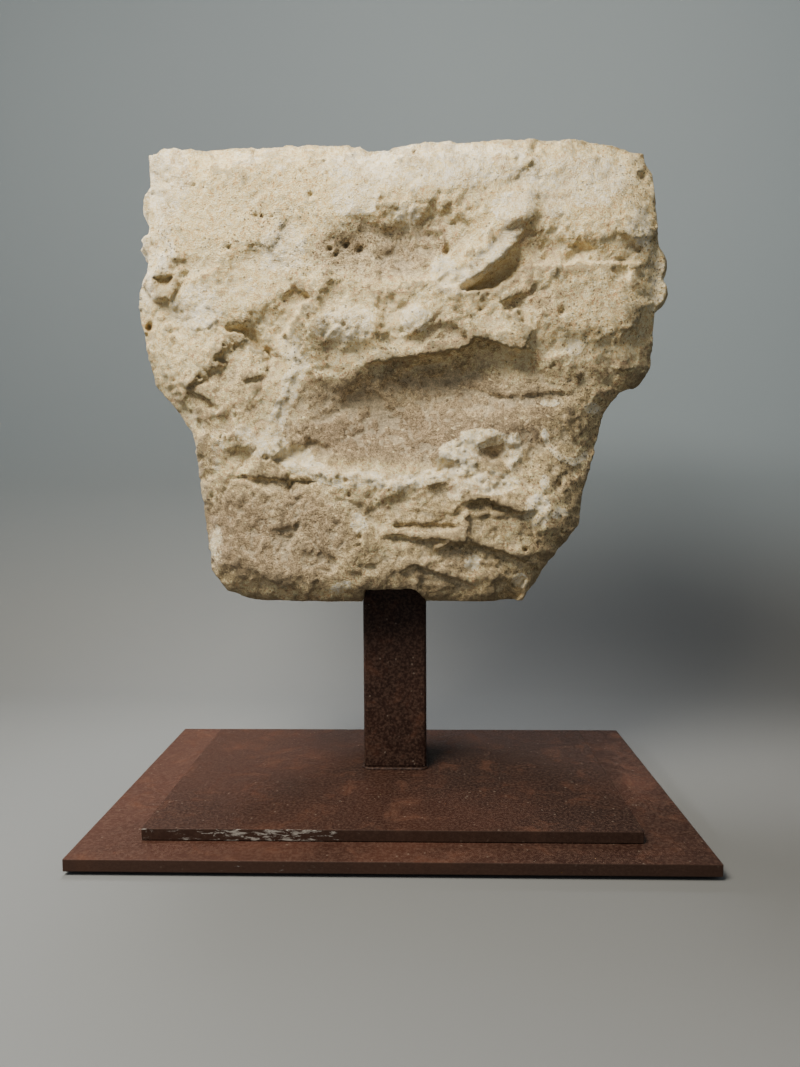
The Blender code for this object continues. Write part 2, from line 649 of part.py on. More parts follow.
def addVoxels(item):
    grid = item.modifiers.new("one stone", "REMESH")
    grid.mode = "VOXEL"
    grid.voxel_size = VOXEL_SHARE * STONE_HEIGHT
    return grid


def settle(item):
    """Replaces the object's mesh by what its modifiers make of it."""
    graph = bpy.context.evaluated_depsgraph_get()
    mesh = bpy.data.meshes.new_from_object(item.evaluated_get(graph))
    item.modifiers.clear()
    item.data = mesh
    return mesh


def buildStone(material):
    stone = joinedObject("capital_stone", carvedBodies())
    fan = hideCutter(joinedObject("fan_of_the_sides", [fanCutter()]))
    front = hideCutter(joinedObject("in_front_of_the_break", [breakCutter()]))
    chips = hideCutter(joinedObject("lost_chips", chipCutters()))
    addVoxels(stone)
    addBoolean(stone, chips, "DIFFERENCE")
    addBoolean(stone, fan, "INTERSECT")
    addBoolean(stone, front, "DIFFERENCE")
    addVoxels(stone)
    mesh = settle(stone)
    mesh.calc_loop_triangles()
    thin = stone.modifiers.new("fewer faces", "DECIMATE")
    thin.ratio = min(1.0, STONE_TRIANGLES / len(mesh.loop_triangles))
    thin.use_collapse_triangulate = True
    settle(stone)
    stone.data.materials.clear()
    stone.data.materials.append(material)
    return stone


def cutPostSeat(stone):
    """The socket round the post's top and the rough notch in front of it."""
    middle = POST_BACKSET
    side = POST_WIDTH / 2.0 + SOCKET_PLAY
    bottom = stoneBottom()
    socket = hideCutter(block("post_socket", (-side, middle - side, bottom - 0.02),
                              (side, middle + side, bottom + SOCKET_DEPTH)))
    mouth = POST_WIDTH / 2.0 - NOTCH_MOUTH_PLAY / 2.0
    roof = 0.82 * mouth
    ceiling = bottom + NOTCH_HEIGHT
    front = stoneFrame()[1] - 0.10
    rear = middle - side + 0.004
    points = []
    for y in (front, rear):
        points += [(-mouth, y, bottom - 0.02), (mouth, y, bottom - 0.02), (mouth, y, bottom + 0.001)]
        points += [(roof, y, ceiling), (-roof, y, ceiling), (-mouth, y, bottom + 0.001)]
    faces = [(k, k + 6, (k + 1) % 6 + 6, (k + 1) % 6) for k in range(6)]
    faces += [tuple(range(6)), tuple(reversed(range(6, 12)))]
    notch = hideCutter(meshObject("post_notch", points, faces))
    addBoolean(stone, socket, "DIFFERENCE")
    addBoolean(stone, notch, "DIFFERENCE")


def buildStand(steel, felt):
    clear = SEAT_CLEARANCE
    feltWidth = LOWER_PLATE_WIDTH - 2 * UNDERLAY_INSET
    feltDepth = LOWER_PLATE_DEPTH - 2 * UNDERLAY_INSET
    slab("felt_underlay", (feltWidth, feltDepth, UNDERLAY_THICKNESS), 0.0, felt)
    lowerBottom = UNDERLAY_THICKNESS + clear
    lowerSize = (LOWER_PLATE_WIDTH, LOWER_PLATE_DEPTH, LOWER_PLATE_THICKNESS)
    lower = slab("lower_plate", lowerSize, lowerBottom, steel)
    upperBottom = lowerBottom + LOWER_PLATE_THICKNESS + clear
    upperSize = (UPPER_PLATE_WIDTH, UPPER_PLATE_DEPTH, UPPER_PLATE_THICKNESS)
    upper = slab("upper_plate", upperSize, upperBottom, steel)
    half = POST_WIDTH / 2.0
    low = (-half, POST_BACKSET - half, upperPlateTop() + clear)
    high = (half, POST_BACKSET + half, stoneBottom() + SOCKET_DEPTH - clear)
    post = block("post", low, high, steel)
    addBevel(lower, PLATE_EDGE_BEVEL, 2)
    addBevel(upper, PLATE_EDGE_BEVEL, 2)
    addBevel(post, POST_CORNER_BEVEL, 3)


clearScene()
stoneMaterial = plainMaterial("pale limestone", (0.56, 0.47, 0.35), 0.9, 0.0)
steelMaterial = plainMaterial("brown oxide steel", (0.09, 0.045, 0.032), 0.55, 0.3)
feltMaterial = plainMaterial("black felt", (0.01, 0.01, 0.01), 1.0, 0.0)
buildStand(steelMaterial, feltMaterial)
capital = buildStone(stoneMaterial)
cutPostSeat(capital)
capital.data.shade_smooth()
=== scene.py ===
import math

import bmesh
import bpy
import numpy as np
from mathutils import Matrix, Vector, noise


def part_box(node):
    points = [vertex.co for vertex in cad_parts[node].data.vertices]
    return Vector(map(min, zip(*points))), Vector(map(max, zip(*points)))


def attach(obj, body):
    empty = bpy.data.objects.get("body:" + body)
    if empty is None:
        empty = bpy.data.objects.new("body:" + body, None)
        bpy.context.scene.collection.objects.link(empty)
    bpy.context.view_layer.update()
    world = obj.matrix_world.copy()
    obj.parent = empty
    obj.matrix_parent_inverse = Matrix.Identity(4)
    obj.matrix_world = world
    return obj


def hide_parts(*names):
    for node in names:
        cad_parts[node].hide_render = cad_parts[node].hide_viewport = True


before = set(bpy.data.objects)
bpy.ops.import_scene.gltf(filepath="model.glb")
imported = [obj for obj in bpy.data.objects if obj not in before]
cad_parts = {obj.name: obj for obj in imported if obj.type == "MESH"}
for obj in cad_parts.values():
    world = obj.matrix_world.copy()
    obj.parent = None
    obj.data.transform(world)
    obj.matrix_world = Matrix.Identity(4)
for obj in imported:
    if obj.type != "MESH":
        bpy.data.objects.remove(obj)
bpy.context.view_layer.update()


# Small tools for numbers, meshes and node trees

def smoothStep(value):
    value = np.clip(value, 0.0, 1.0)
    return value * value * (3.0 - 2.0 * value)


def roughness(points, size, octaves, seed, gain=0.9):
    # fractal noise from about -1 to 1, its largest grains of the given size
    shift = Vector((seed * 3.7, seed * 1.9, seed * 5.3))
    return np.array([noise.fractal(Vector(p) / size + shift, gain, 2.0, octaves) for p in points])


def cells(points, size, seed):
    # distances to the nearest and the second nearest of scattered seeds, in cell sizes
    shift = Vector((seed * 2.3, seed * 4.1, seed * 1.7))
    found = [noise.voronoi(Vector(p) / size + shift, distance_metric="DISTANCE")[0][:2] for p in points]
    return np.array(found).T


def facets(points, size, seed, lean, sharp=24.0):
    # flat planes, each leaning its own way, joined by narrow ramps
    shift = Vector((seed * 2.9, seed * 1.3, seed * 3.3))
    half = Vector((0.5, 0.5, 0.5))
    heights = []
    for p in points:
        there = Vector(p) / size + shift
        gaps, seeds = noise.voronoi(there, distance_metric="DISTANCE")
        total = share = 0.0
        for gap, middle in zip(gaps[:3], seeds[:3]):
            weight = math.exp(-sharp * (gap * gap - gaps[0] * gaps[0]))
            total += weight * (noise.cell_vector(middle * 31.7) - half).dot(there - middle)
            share += weight
        heights.append(lean * total / share)
    return np.array(heights)


def meshObject(name, points, faces):
    mesh = bpy.data.meshes.new(name)
    mesh.from_pydata([tuple(map(float, p)) for p in points], [], [tuple(map(int, f)) for f in faces])
    mesh.validate()
    item = bpy.data.objects.new(name, mesh)
    bpy.context.scene.collection.objects.link(item)
    return item


def settle(item):
    # puts what the modifiers make of the object in place of its mesh
    graph = bpy.context.evaluated_depsgraph_get()
    mesh = bpy.data.meshes.new_from_object(item.evaluated_get(graph))
    item.modifiers.clear()
    item.data = mesh
    return mesh


def put(tree, kind, sockets=None, **settings):
    # a new node: sockets holds values, or other nodes' outputs to link
    node = tree.nodes.new(kind)
    for key, value in settings.items():
        setattr(node, key, value)
    for key, value in (sockets or {}).items():
        if isinstance(value, bpy.types.NodeSocket):
            tree.links.new(value, node.inputs[key])
        else:
            node.inputs[key].default_value = value
    return node


def noiseOf(tree, vector, scale, detail=4.0, rough=0.5, warp=0.0):
    sockets = {"Vector": vector, "Scale": scale, "Detail": detail, "Roughness": rough, "Distortion": warp}
    return put(tree, "ShaderNodeTexNoise", sockets).outputs["Fac"]


def ramp(tree, value, low, high, start=0.0, end=1.0):
    sockets = {"Value": value, "From Min": low, "From Max": high, "To Min": start, "To Max": end}
    return put(tree, "ShaderNodeMapRange", sockets, interpolation_type="SMOOTHSTEP").outputs["Result"]


def sums(tree, operation, a, b=0.0, clamp=False):
    return put(tree, "ShaderNodeMath", {0: a, 1: b}, operation=operation, use_clamp=clamp).outputs[0]


def mixed(tree, share, a, b, blend="MIX"):
    return put(tree, "ShaderNodeMix", {0: share, 6: a, 7: b}, data_type="RGBA", blend_type=blend).outputs[2]


def stretched(tree, vector, scale):
    return put(tree, "ShaderNodeVectorMath", {0: vector, 1: scale}, operation="MULTIPLY").outputs[0]


def colour(red, green, blue):
    return (red, green, blue, 1.0)


def newGroup(name, inputs, outputs):
    # a shader group with a Vector input, float inputs and float outputs
    tree = bpy.data.node_groups.new(name, "ShaderNodeTree")
    tree.interface.new_socket("Vector", in_out="INPUT", socket_type="NodeSocketVector")
    for label, value in inputs:
        socket = tree.interface.new_socket(label, in_out="INPUT", socket_type="NodeSocketFloat")
        socket.default_value = value
    for label in outputs:
        tree.interface.new_socket(label, in_out="OUTPUT", socket_type="NodeSocketFloat")
    return tree, tree.nodes.new("NodeGroupInput").outputs, tree.nodes.new("NodeGroupOutput").inputs


def useGroup(tree, group, vector, **values):
    return put(tree, "ShaderNodeGroup", {"Vector": vector, **values}, node_tree=group).outputs


def newMaterial(name):
    material = bpy.data.materials.new(name)
    material.use_nodes = True
    tree = material.node_tree
    shader = tree.nodes["Principled BSDF"]
    place = tree.nodes.new("ShaderNodeTexCoord").outputs["Object"]
    return material, tree, shader, place


# Shared shader effects

def speckGroup():
    # separate grains: 1 inside a grain, 0 between them; Amount is the share of places with one
    tree, given, made = newGroup("specks", [("Scale", 300.0), ("Amount", 0.3), ("Size", 0.35)], ["Mask"])
    bend = put(tree, "ShaderNodeTexNoise", {"Vector": given["Vector"], "Scale": 90.0}).outputs["Color"]
    moved = put(tree, "ShaderNodeVectorMath", {0: bend, 1: (0.004, 0.004, 0.004), 2: given["Vector"]},
                operation="MULTIPLY_ADD").outputs[0]
    cell = put(tree, "ShaderNodeTexVoronoi", {"Vector": moved, "Scale": given["Scale"]})
    dice = put(tree, "ShaderNodeTexWhiteNoise", {"Vector": cell.outputs["Position"]},
               noise_dimensions="3D").outputs["Value"]
    chosen = sums(tree, "LESS_THAN", dice, given["Amount"])
    edge = sums(tree, "MULTIPLY", given["Size"], 0.5)
    inside = ramp(tree, cell.outputs["Distance"], given["Size"], edge)
    tree.links.new(sums(tree, "MULTIPLY", chosen, inside), made["Mask"])
    return tree


def patchGroup():
    # ragged patches where Amount is high: its edge is broken up by noise
    tree, given, made = newGroup("ragged patches", [("Amount", 0.5), ("Scale", 50.0), ("Edge", 0.10)], ["Mask"])
    rough = noiseOf(tree, given["Vector"], given["Scale"], 9.0, 0.68, 0.4)
    level = sums(tree, "ADD", sums(tree, "MULTIPLY", rough, 1.1), given["Amount"])
    top = sums(tree, "ADD", given["Edge"], 1.02)
    tree.links.new(ramp(tree, level, 1.02, top), made["Mask"])
    return tree


def grainGroup():
    # height of a crumbly surface, from fine lumps down to grains
    tree, given, made = newGroup("crumbly grain", [("Scale", 100.0), ("Pits", 0.3)], ["Height"])
    lumps = noiseOf(tree, given["Vector"], given["Scale"], 8.0, 0.62)
    finer = sums(tree, "MULTIPLY", given["Scale"], 2.6)
    holes = put(tree, "ShaderNodeTexVoronoi", {"Vector": given["Vector"], "Scale": finer}).outputs["Distance"]
    sunk = sums(tree, "MULTIPLY", ramp(tree, holes, 0.32, 0.05), given["Pits"])
    tree.links.new(sums(tree, "SUBTRACT", lumps, sunk), made["Height"])
    return tree


specks = speckGroup()
patches = patchGroup()
grain = grainGroup()

# The stone. Places on the break are (right of the bell's axis, above the underside) as seen from the
# front, and all sizes but those in metres are shares of the stone's height.
stone = {
    "height": 0.400, "axis": 0.010, "front": -0.035, "bottom": 0.1916,      # metres
    "fanPoint": 1.640, "eye": (0.031, 0.270),
    "bellFoot": 0.375, "bellWaist": 0.400, "bellLip": 0.490,
    "abacusThickness": 0.115, "abacusMiddle": 0.530, "abacusCorner": 0.600, "cornerCut": 0.070,
    "leafLift": 0.004, "leafThickness": 0.036, "leafFold": 0.020, "leafRib": 0.018,
    "lobe": 0.30, "lobeStart": 0.13, "lobeRake": 0.85,
    "lowerCrown": 0.385, "lowerReach": 0.500, "upperCrown": 0.700, "upperReach": 0.560,
    "sideCrown": 0.795, "sideReach": 0.590,
    "voluteMiddle": (0.590, 0.800), "voluteSize": 0.068, "coreDepth": 0.150,
    "voxel": 0.0062, "breakGrid": 0.0042, "triangles": 192000,
    "worn": 0.045, "wornReach": 0.075, "fewestPoints": 500,
    "cornerTurns": (2, -45.0, 90.0), "stalkTurns": (2, -22.5, 45.0),
    "postMiddle": 0.034, "postKept": 0.034,      # metres
}

# leaves: (foot, crown, half width, reach, where the curl starts), (count, first and step in degrees)
leafRings = {
    "lowerLeaves": ((0.0, stone["lowerCrown"], 0.150, stone["lowerReach"], 0.58), (4, -67.5, 45.0)),
    "upperLeaves": ((0.03, stone["upperCrown"], 0.140, stone["upperReach"], 0.72), (3, -45.0, 45.0)),
    "sideLeaves": ((0.03, stone["sideCrown"], 0.165, stone["sideReach"], 0.70), (2, -84.0, 168.0)),
}

# edge of the break, clockwise from the top left corner
breakEdge = [
    (-0.546, 0.985), (-0.500, 0.998), (-0.423, 0.980), (-0.349, 0.992), (-0.095, 0.988),
    (-0.070, 0.971), (0.048, 0.992), (0.208, 0.999), (0.360, 0.995), (0.431, 0.980),
    (0.505, 0.956), (0.532, 0.918), (0.543, 0.830), (0.550, 0.720), (0.540, 0.610),
    (0.534, 0.510), (0.508, 0.475), (0.470, 0.460), (0.438, 0.420), (0.412, 0.305),
    (0.393, 0.250), (0.385, 0.175), (0.321, 0.094), (0.258, 0.000), (-0.310, 0.000),
    (-0.395, 0.028), (-0.430, 0.075), (-0.443, 0.200), (-0.458, 0.320), (-0.468, 0.380),
    (-0.500, 0.430), (-0.545, 0.482), (-0.563, 0.560), (-0.566, 0.630), (-0.552, 0.770),
    (-0.544, 0.920),
]

# the outline from the front, where side leaves stand past the break
outline = [
    (-0.560, 0.940), (-0.552, 0.970), (-0.532, 0.990), (-0.500, 0.999), (-0.423, 0.981),
    (-0.349, 0.993), (-0.095, 0.989), (-0.070, 0.972), (0.048, 0.993), (0.208, 1.002),
    (0.360, 0.998), (0.431, 0.982),
    (0.510, 0.960), (0.532, 0.918), (0.545, 0.830), (0.552, 0.795), (0.575, 0.780),
    (0.572, 0.700), (0.578, 0.650), (0.548, 0.628), (0.540, 0.570), (0.534, 0.510),
    (0.508, 0.474), (0.470, 0.459), (0.438, 0.420), (0.412, 0.305), (0.393, 0.250),
    (0.385, 0.175), (0.321, 0.094), (0.258, -0.002), (-0.310, -0.002), (-0.395, 0.027),
    (-0.430, 0.075), (-0.443, 0.200), (-0.458, 0.320), (-0.468, 0.380), (-0.500, 0.430),
    (-0.545, 0.482), (-0.563, 0.560), (-0.590, 0.620), (-0.583, 0.730), (-0.566, 0.790),
    (-0.587, 0.826), (-0.588, 0.880), (-0.572, 0.915),
]

# swellings and hollows: (right, up, half width, half height, turn in degrees, how far out)
breakMounds = [
    (0.00, 0.80, 0.66, 0.32, 0, 0.034),
    (-0.02, 0.15, 0.50, 0.20, 0, 0.020),
    (-0.03, 0.77, 0.20, 0.080, 8, -0.024),
    (0.196, 0.782, 0.14, 0.042, 48, 0.022),
    (0.240, 0.855, 0.060, 0.045, 0, 0.012),
    (-0.11, 0.605, 0.10, 0.045, 0, 0.020),
    (0.03, 0.620, 0.05, 0.035, 20, 0.018),
    (0.38, 0.650, 0.18, 0.100, 0, 0.018),
    (0.18, 0.340, 0.10, 0.080, 25, 0.020),
    (0.20, 0.335, 0.040, 0.028, 10, -0.022),
    (0.082, 0.322, 0.022, 0.020, 0, 0.014),
    (-0.40, 0.420, 0.13, 0.20, 10, 0.014),
    (-0.36, 0.315, 0.040, 0.035, 0, -0.016),
    (0.42, 0.350, 0.12, 0.20, 0, -0.020),
    (0.50, 0.930, 0.10, 0.10, 0, -0.024),
    (0.320, 0.760, 0.075, 0.030, 0, -0.012),
    (0.477, 0.722, 0.030, 0.020, 0, -0.014),
    (0.070, 0.528, 0.085, 0.018, 12, -0.014),
]

# ledges: (points from left to right, stands out above, sinks below, reach)
breakLedges = [
    ([(-0.06, 0.528), (-0.02, 0.537), (0.12, 0.551), (0.155, 0.582),
      (0.19, 0.574), (0.22, 0.561), (0.26, 0.551)], 0.018, 0.014, 0.040),
    ([(0.28, 0.735), (0.40, 0.738), (0.50, 0.737)], -0.004, -0.016, 0.040),
    ([(-0.24, 0.495), (-0.27, 0.433), (-0.287, 0.374), (-0.258, 0.317)], -0.001, -0.003, 0.030),
    ([(-0.258, 0.317), (-0.18, 0.297), (0.00, 0.265), (0.09, 0.290)], -0.006, -0.010, 0.030),
    ([(0.148, 0.222), (0.179, 0.229), (0.212, 0.220), (0.245, 0.207), (0.275, 0.203)], 0.014, 0.014, 0.022),
    ([(0.08, 0.185), (0.146, 0.188), (0.212, 0.194), (0.256, 0.198)], 0.006, 0.006, 0.014),
    ([(-0.02, 0.174), (0.047, 0.177), (0.108, 0.176)], 0.008, 0.008, 0.014),
    ([(-0.03, 0.150), (0.035, 0.146), (0.086, 0.141)], 0.010, 0.012, 0.018),
    ([(0.082, 0.121), (0.113, 0.130), (0.157, 0.134), (0.201, 0.116), (0.261, 0.094)], 0.011, 0.013, 0.026),
    ([(0.009, 0.074), (0.030, 0.083), (0.053, 0.076), (0.080, 0.063), (0.137, 0.045)], 0.008, 0.010, 0.018),
    ([(-0.479, 0.478), (-0.448, 0.460), (-0.422, 0.445)], 0.010, 0.014, 0.024),
    ([(-0.345, 0.492), (-0.315, 0.500)], 0.006, 0.006, 0.012),
    ([(0.15, 0.47), (0.24, 0.455), (0.36, 0.462)], 0.004, 0.004, 0.030),
]

# pockets between two lines: (first line, second line, depth, where it is deepest, softness of both ends)
breakPockets = [
    ([(-0.232, 0.500), (-0.16, 0.506), (-0.02, 0.537), (0.12, 0.551), (0.155, 0.582),
      (0.19, 0.574), (0.22, 0.561), (0.30, 0.541), (0.42, 0.500)],
     [(-0.285, 0.375), (-0.262, 0.322), (-0.18, 0.293), (0.00, 0.268), (0.07, 0.290), (0.12, 0.350),
      (0.19, 0.385), (0.27, 0.390), (0.40, 0.425)], 0.044, 0.32, 0.170, 0.300),
    ([(0.106, 0.688), (0.151, 0.720), (0.188, 0.745), (0.224, 0.778), (0.246, 0.800)],
     [(0.106, 0.684), (0.133, 0.679), (0.199, 0.680), (0.225, 0.695), (0.248, 0.714), (0.278, 0.744)],
     0.050, 0.78, 0.045, 0.060),
    ([(-0.400, 0.272), (-0.352, 0.262), (-0.324, 0.244), (-0.297, 0.230), (-0.250, 0.222), (-0.188, 0.268)],
     [(-0.400, 0.276), (-0.370, 0.281), (-0.341, 0.286), (-0.296, 0.285), (-0.252, 0.276), (-0.188, 0.276)],
     0.018, 0.80, 0.060, 0.020),
    ([(-0.400, 0.612), (-0.365, 0.622), (-0.320, 0.614), (-0.296, 0.590), (-0.280, 0.550)],
     [(-0.396, 0.608), (-0.357, 0.590), (-0.331, 0.572), (-0.309, 0.557), (-0.285, 0.535)],
     0.026, 0.84, 0.030, 0.012),
    ([(-0.542, 0.712), (-0.520, 0.662), (-0.498, 0.712)], [(-0.542, 0.716), (-0.520, 0.718), (-0.498, 0.716)],
     0.024, 0.80, 0.003, 0.003),
    ([(0.340, 0.868), (0.358, 0.846), (0.382, 0.874)], [(0.340, 0.872), (0.362, 0.880), (0.382, 0.878)],
     0.016, 0.85, 0.004, 0.004),
]

# flat facets: (right, up, half width, half height, turn, rise to the right, rise upwards)
breakFlats = [
    (0.238, 0.852, 0.044, 0.034, 0, 0.30, -0.34),
    (0.196, 0.760, 0.075, 0.018, 45, 0.25, -0.35),
    (-0.410, 0.840, 0.090, 0.080, 10, 0.06, -0.10),
    (-0.180, 0.900, 0.110, 0.050, 0, 0.02, -0.22),
    (0.080, 0.930, 0.120, 0.040, 4, 0.05, -0.25),
    (0.390, 0.860, 0.090, 0.060, -20, 0.10, -0.15),
    (-0.330, 0.690, 0.080, 0.060, 20, 0.05, -0.12),
    (0.400, 0.650, 0.090, 0.060, 0, 0.05, 0.02),
]

# rounded remains of side leaves at the outer edges: (right, behind the break, up, half sizes)
sideLobes = [
    (-0.548, 0.090, 0.885, 0.040, 0.070, 0.052),
    (-0.545, 0.085, 0.800, 0.052, 0.075, 0.032),
    (-0.540, 0.075, 0.665, 0.060, 0.070, 0.105),
    (-0.530, 0.070, 0.560, 0.050, 0.060, 0.070),
    (0.545, 0.080, 0.745, 0.043, 0.060, 0.050),
    (0.540, 0.075, 0.685, 0.050, 0.060, 0.045),
    (0.520, 0.060, 0.560, 0.036, 0.060, 0.085),
]

# pits: (right, up, radius, depth)
breakPits = [
    (-0.302, 0.324, 0.006, 0.020), (-0.426, 0.238, 0.006, 0.016), (-0.128, 0.272, 0.005, 0.018),
    (-0.121, 0.239, 0.004, 0.014), (-0.098, 0.148, 0.007, 0.020), (-0.123, 0.781, 0.006, 0.020),
    (-0.158, 0.773, 0.005, 0.018), (-0.093, 0.770, 0.006, 0.018), (-0.145, 0.760, 0.005, 0.012),
    (-0.317, 0.845, 0.004, 0.012), (-0.304, 0.842, 0.004, 0.012), (-0.282, 0.842, 0.004, 0.012),
    (-0.197, 0.887, 0.006, 0.014), (-0.377, 0.778, 0.005, 0.012), (0.095, 0.764, 0.008, 0.020),
    (0.510, 0.913, 0.008, 0.020), (-0.555, 0.609, 0.008, 0.030), (0.080, 0.887, 0.006, 0.010),
    (0.343, 0.634, 0.006, 0.012), (0.167, 0.640, 0.005, 0.012), (0.268, 0.118, 0.005, 0.020),
    (0.270, 0.096, 0.005, 0.018), (0.239, 0.042, 0.007, 0.020), (0.300, 0.151, 0.005, 0.012),
    (0.198, 0.322, 0.012, 0.020), (0.225, 0.318, 0.010, 0.016), (0.342, 0.262, 0.006, 0.014),
]

# where the break is bruised white, crusted, rosy or sooty, with some painted light and shade among them:
# (right, up, half width, half height, turn, strength)
chalkAndLitTopSpots = [
    (-0.510, 0.930, 0.048, 0.080, 0, 0.95), (-0.260, 0.772, 0.052, 0.048, 20, 0.90),
    (-0.102, 0.875, 0.050, 0.036, 0, 0.85), (0.009, 0.842, 0.040, 0.036, 0, 0.65),
    (-0.127, 0.611, 0.062, 0.034, 6, 0.95), (0.026, 0.624, 0.030, 0.026, 0, 1.10),
    (-0.250, 0.565, 0.030, 0.030, 0, 0.70), (-0.350, 0.376, 0.024, 0.018, -40, 1.00),
    (-0.300, 0.350, 0.042, 0.028, 0, 1.00), (-0.229, 0.330, 0.034, 0.020, -20, 0.80),
    (0.238, 0.856, 0.040, 0.028, 0, 1.25), (0.092, 0.716, 0.030, 0.040, 20, 0.95),
    (0.319, 0.440, 0.020, 0.008, 0, 1.00), (0.411, 0.428, 0.016, 0.012, 0, 0.95),
    (0.295, 0.205, 0.030, 0.034, 0, 0.90), (0.345, 0.198, 0.020, 0.012, 0, 0.80),
    (0.257, 0.050, 0.018, 0.016, 0, 1.00), (0.310, 0.268, 0.012, 0.020, 0, 0.80),
    # painted light: the two broad spots on this line whiten the lit top of the break
    (0.370, 0.910, 0.120, 0.060, 0, 0.78), (0.060, 0.945, 0.240, 0.050, 0, 0.78),
    (-0.450, 0.650, 0.060, 0.060, 0, 0.70), (-0.270, 0.960, 0.150, 0.030, 0, 0.50),
    (0.330, 0.860, 0.040, 0.030, 0, 0.60), (0.370, 0.560, 0.020, 0.020, 0, 0.85),
    (-0.350, 0.690, 0.080, 0.050, 0, 0.50), (-0.520, 0.790, 0.030, 0.080, 0, 0.60),
    (0.505, 0.800, 0.030, 0.060, 0, 0.70), (-0.420, 0.130, 0.020, 0.060, 0, 0.60),
    (-0.100, 0.175, 0.020, 0.030, 0, 0.65), (0.150, 0.090, 0.020, 0.020, 0, 0.70),
    (-0.140, 0.035, 0.030, 0.015, 20, 0.70), (-0.410, 0.340, 0.020, 0.060, 0, 0.55),
    (-0.565, 0.740, 0.022, 0.120, 0, 0.75), (0.545, 0.700, 0.022, 0.080, 0, 0.60),
]
chalkStreaks = [
    ([(0.262, 0.868), (0.244, 0.825), (0.219, 0.783), (0.189, 0.753),
      (0.158, 0.724), (0.120, 0.694)], 0.018, 1.15),
    ([(-0.222, 0.530), (-0.233, 0.508), (-0.250, 0.492), (-0.251, 0.463), (-0.267, 0.433),
      (-0.281, 0.398), (-0.287, 0.363), (-0.270, 0.334), (-0.238, 0.306), (-0.189, 0.296)], 0.015, 1.30),
    ([(0.305, 0.379), (0.316, 0.348), (0.342, 0.322), (0.375, 0.309), (0.399, 0.327)], 0.006, 1.20),
]
crustStreaks = [
    ([(-0.190, 0.284), (-0.130, 0.272), (-0.075, 0.278), (-0.030, 0.270), (0.003, 0.264), (0.053, 0.280),
      (0.091, 0.286)], 0.016, 0.95),
]
crustSpots = [
    (0.120, 0.320, 0.050, 0.040, 30, 0.90), (0.175, 0.365, 0.050, 0.020, 0, 0.90),
    (0.238, 0.335, 0.022, 0.042, 0, 0.80), (0.190, 0.265, 0.062, 0.026, 0, 0.85),
    (0.113, 0.250, 0.018, 0.022, 0, 0.80),
]
roseAndShadeSpots = [
    (-0.040, 0.770, 0.170, 0.070, 8, 0.90), (0.040, 0.430, 0.320, 0.100, 0, 1.00),
    # painted shade: this spot's strength past 1 darkens the scoop to umber
    (0.020, 0.375, 0.270, 0.060, 0, 1.40),
    (0.160, 0.200, 0.170, 0.070, 0, 0.55), (0.060, 0.070, 0.200, 0.060, 0, 0.70),
    (0.380, 0.620, 0.170, 0.120, 0, 0.55), (0.090, 0.860, 0.080, 0.060, 0, 0.55),
    (-0.300, 0.150, 0.200, 0.120, 0, 1.00),
]
sootSpots = [
    (0.385, 0.340, 0.070, 0.140, 0, 0.75), (-0.130, 0.772, 0.090, 0.040, 8, 0.80),
    (-0.290, 0.842, 0.060, 0.026, 0, 0.75), (0.505, 0.905, 0.035, 0.060, 0, 0.80),
    (0.320, 0.170, 0.060, 0.070, 0, 0.70), (-0.370, 0.782, 0.050, 0.026, 0, 0.55),
    (-0.510, 0.780, 0.030, 0.060, 0, 0.50), (-0.440, 0.200, 0.030, 0.120, 0, 0.40),
    (0.540, 0.760, 0.030, 0.060, 0, 0.80), (-0.080, 0.560, 0.200, 0.030, 6, 0.40),
    (0.400, 0.600, 0.120, 0.080, 0, 0.35),
]

# painted shade along creases, under the lips and in the channels between the side leaves: (points, width,
# strength)
shadeCreases = [
    ([(-0.03, 0.528), (0.05, 0.535), (0.13, 0.546), (0.155, 0.570), (0.20, 0.562)], 0.010, 1.10),
    ([(0.105, 0.682), (0.162, 0.684), (0.203, 0.688), (0.238, 0.708), (0.270, 0.740)], 0.007, 0.95),
    ([(-0.352, 0.600), (-0.331, 0.578), (-0.306, 0.560)], 0.008, 1.10),
    ([(-0.340, 0.284), (-0.296, 0.284), (-0.250, 0.275)], 0.005, 0.90),
    ([(0.148, 0.218), (0.179, 0.225), (0.212, 0.216), (0.245, 0.203)], 0.006, 1.00),
    ([(-0.478, 0.474), (-0.448, 0.456), (-0.425, 0.442)], 0.007, 0.80),
    ([(-0.02, 0.171), (0.047, 0.174), (0.108, 0.172)], 0.005, 0.70),
    ([(0.10, 0.126), (0.157, 0.130), (0.201, 0.112)], 0.005, 0.70),
    ([(-0.532, 0.703), (-0.508, 0.703)], 0.008, 1.30), ([(-0.522, 0.690), (-0.518, 0.678)], 0.006, 1.10),
    ([(-0.557, 0.920), (-0.551, 0.885), (-0.556, 0.862), (-0.575, 0.850)], 0.006, 1.60),
    ([(-0.580, 0.815), (-0.560, 0.828)], 0.004, 0.90),
    ([(-0.560, 0.780), (-0.566, 0.730), (-0.562, 0.690)], 0.007, 1.30),
    ([(-0.555, 0.612), (-0.554, 0.590)], 0.006, 1.60), ([(-0.566, 0.660), (-0.560, 0.620)], 0.004, 0.90),
]

# where the break is smoother: (right, up, half width, half height, turn, strength)
smoothSpots = [
    (0.030, 0.440, 0.340, 0.120, 0, 1.00), (0.380, 0.600, 0.150, 0.090, 0, 0.60),
    (-0.300, 0.840, 0.240, 0.130, 0, 0.80),
    (0.300, 0.900, 0.200, 0.080, 0, 0.70),
    (-0.200, 0.120, 0.200, 0.100, 0, 0.40),
]

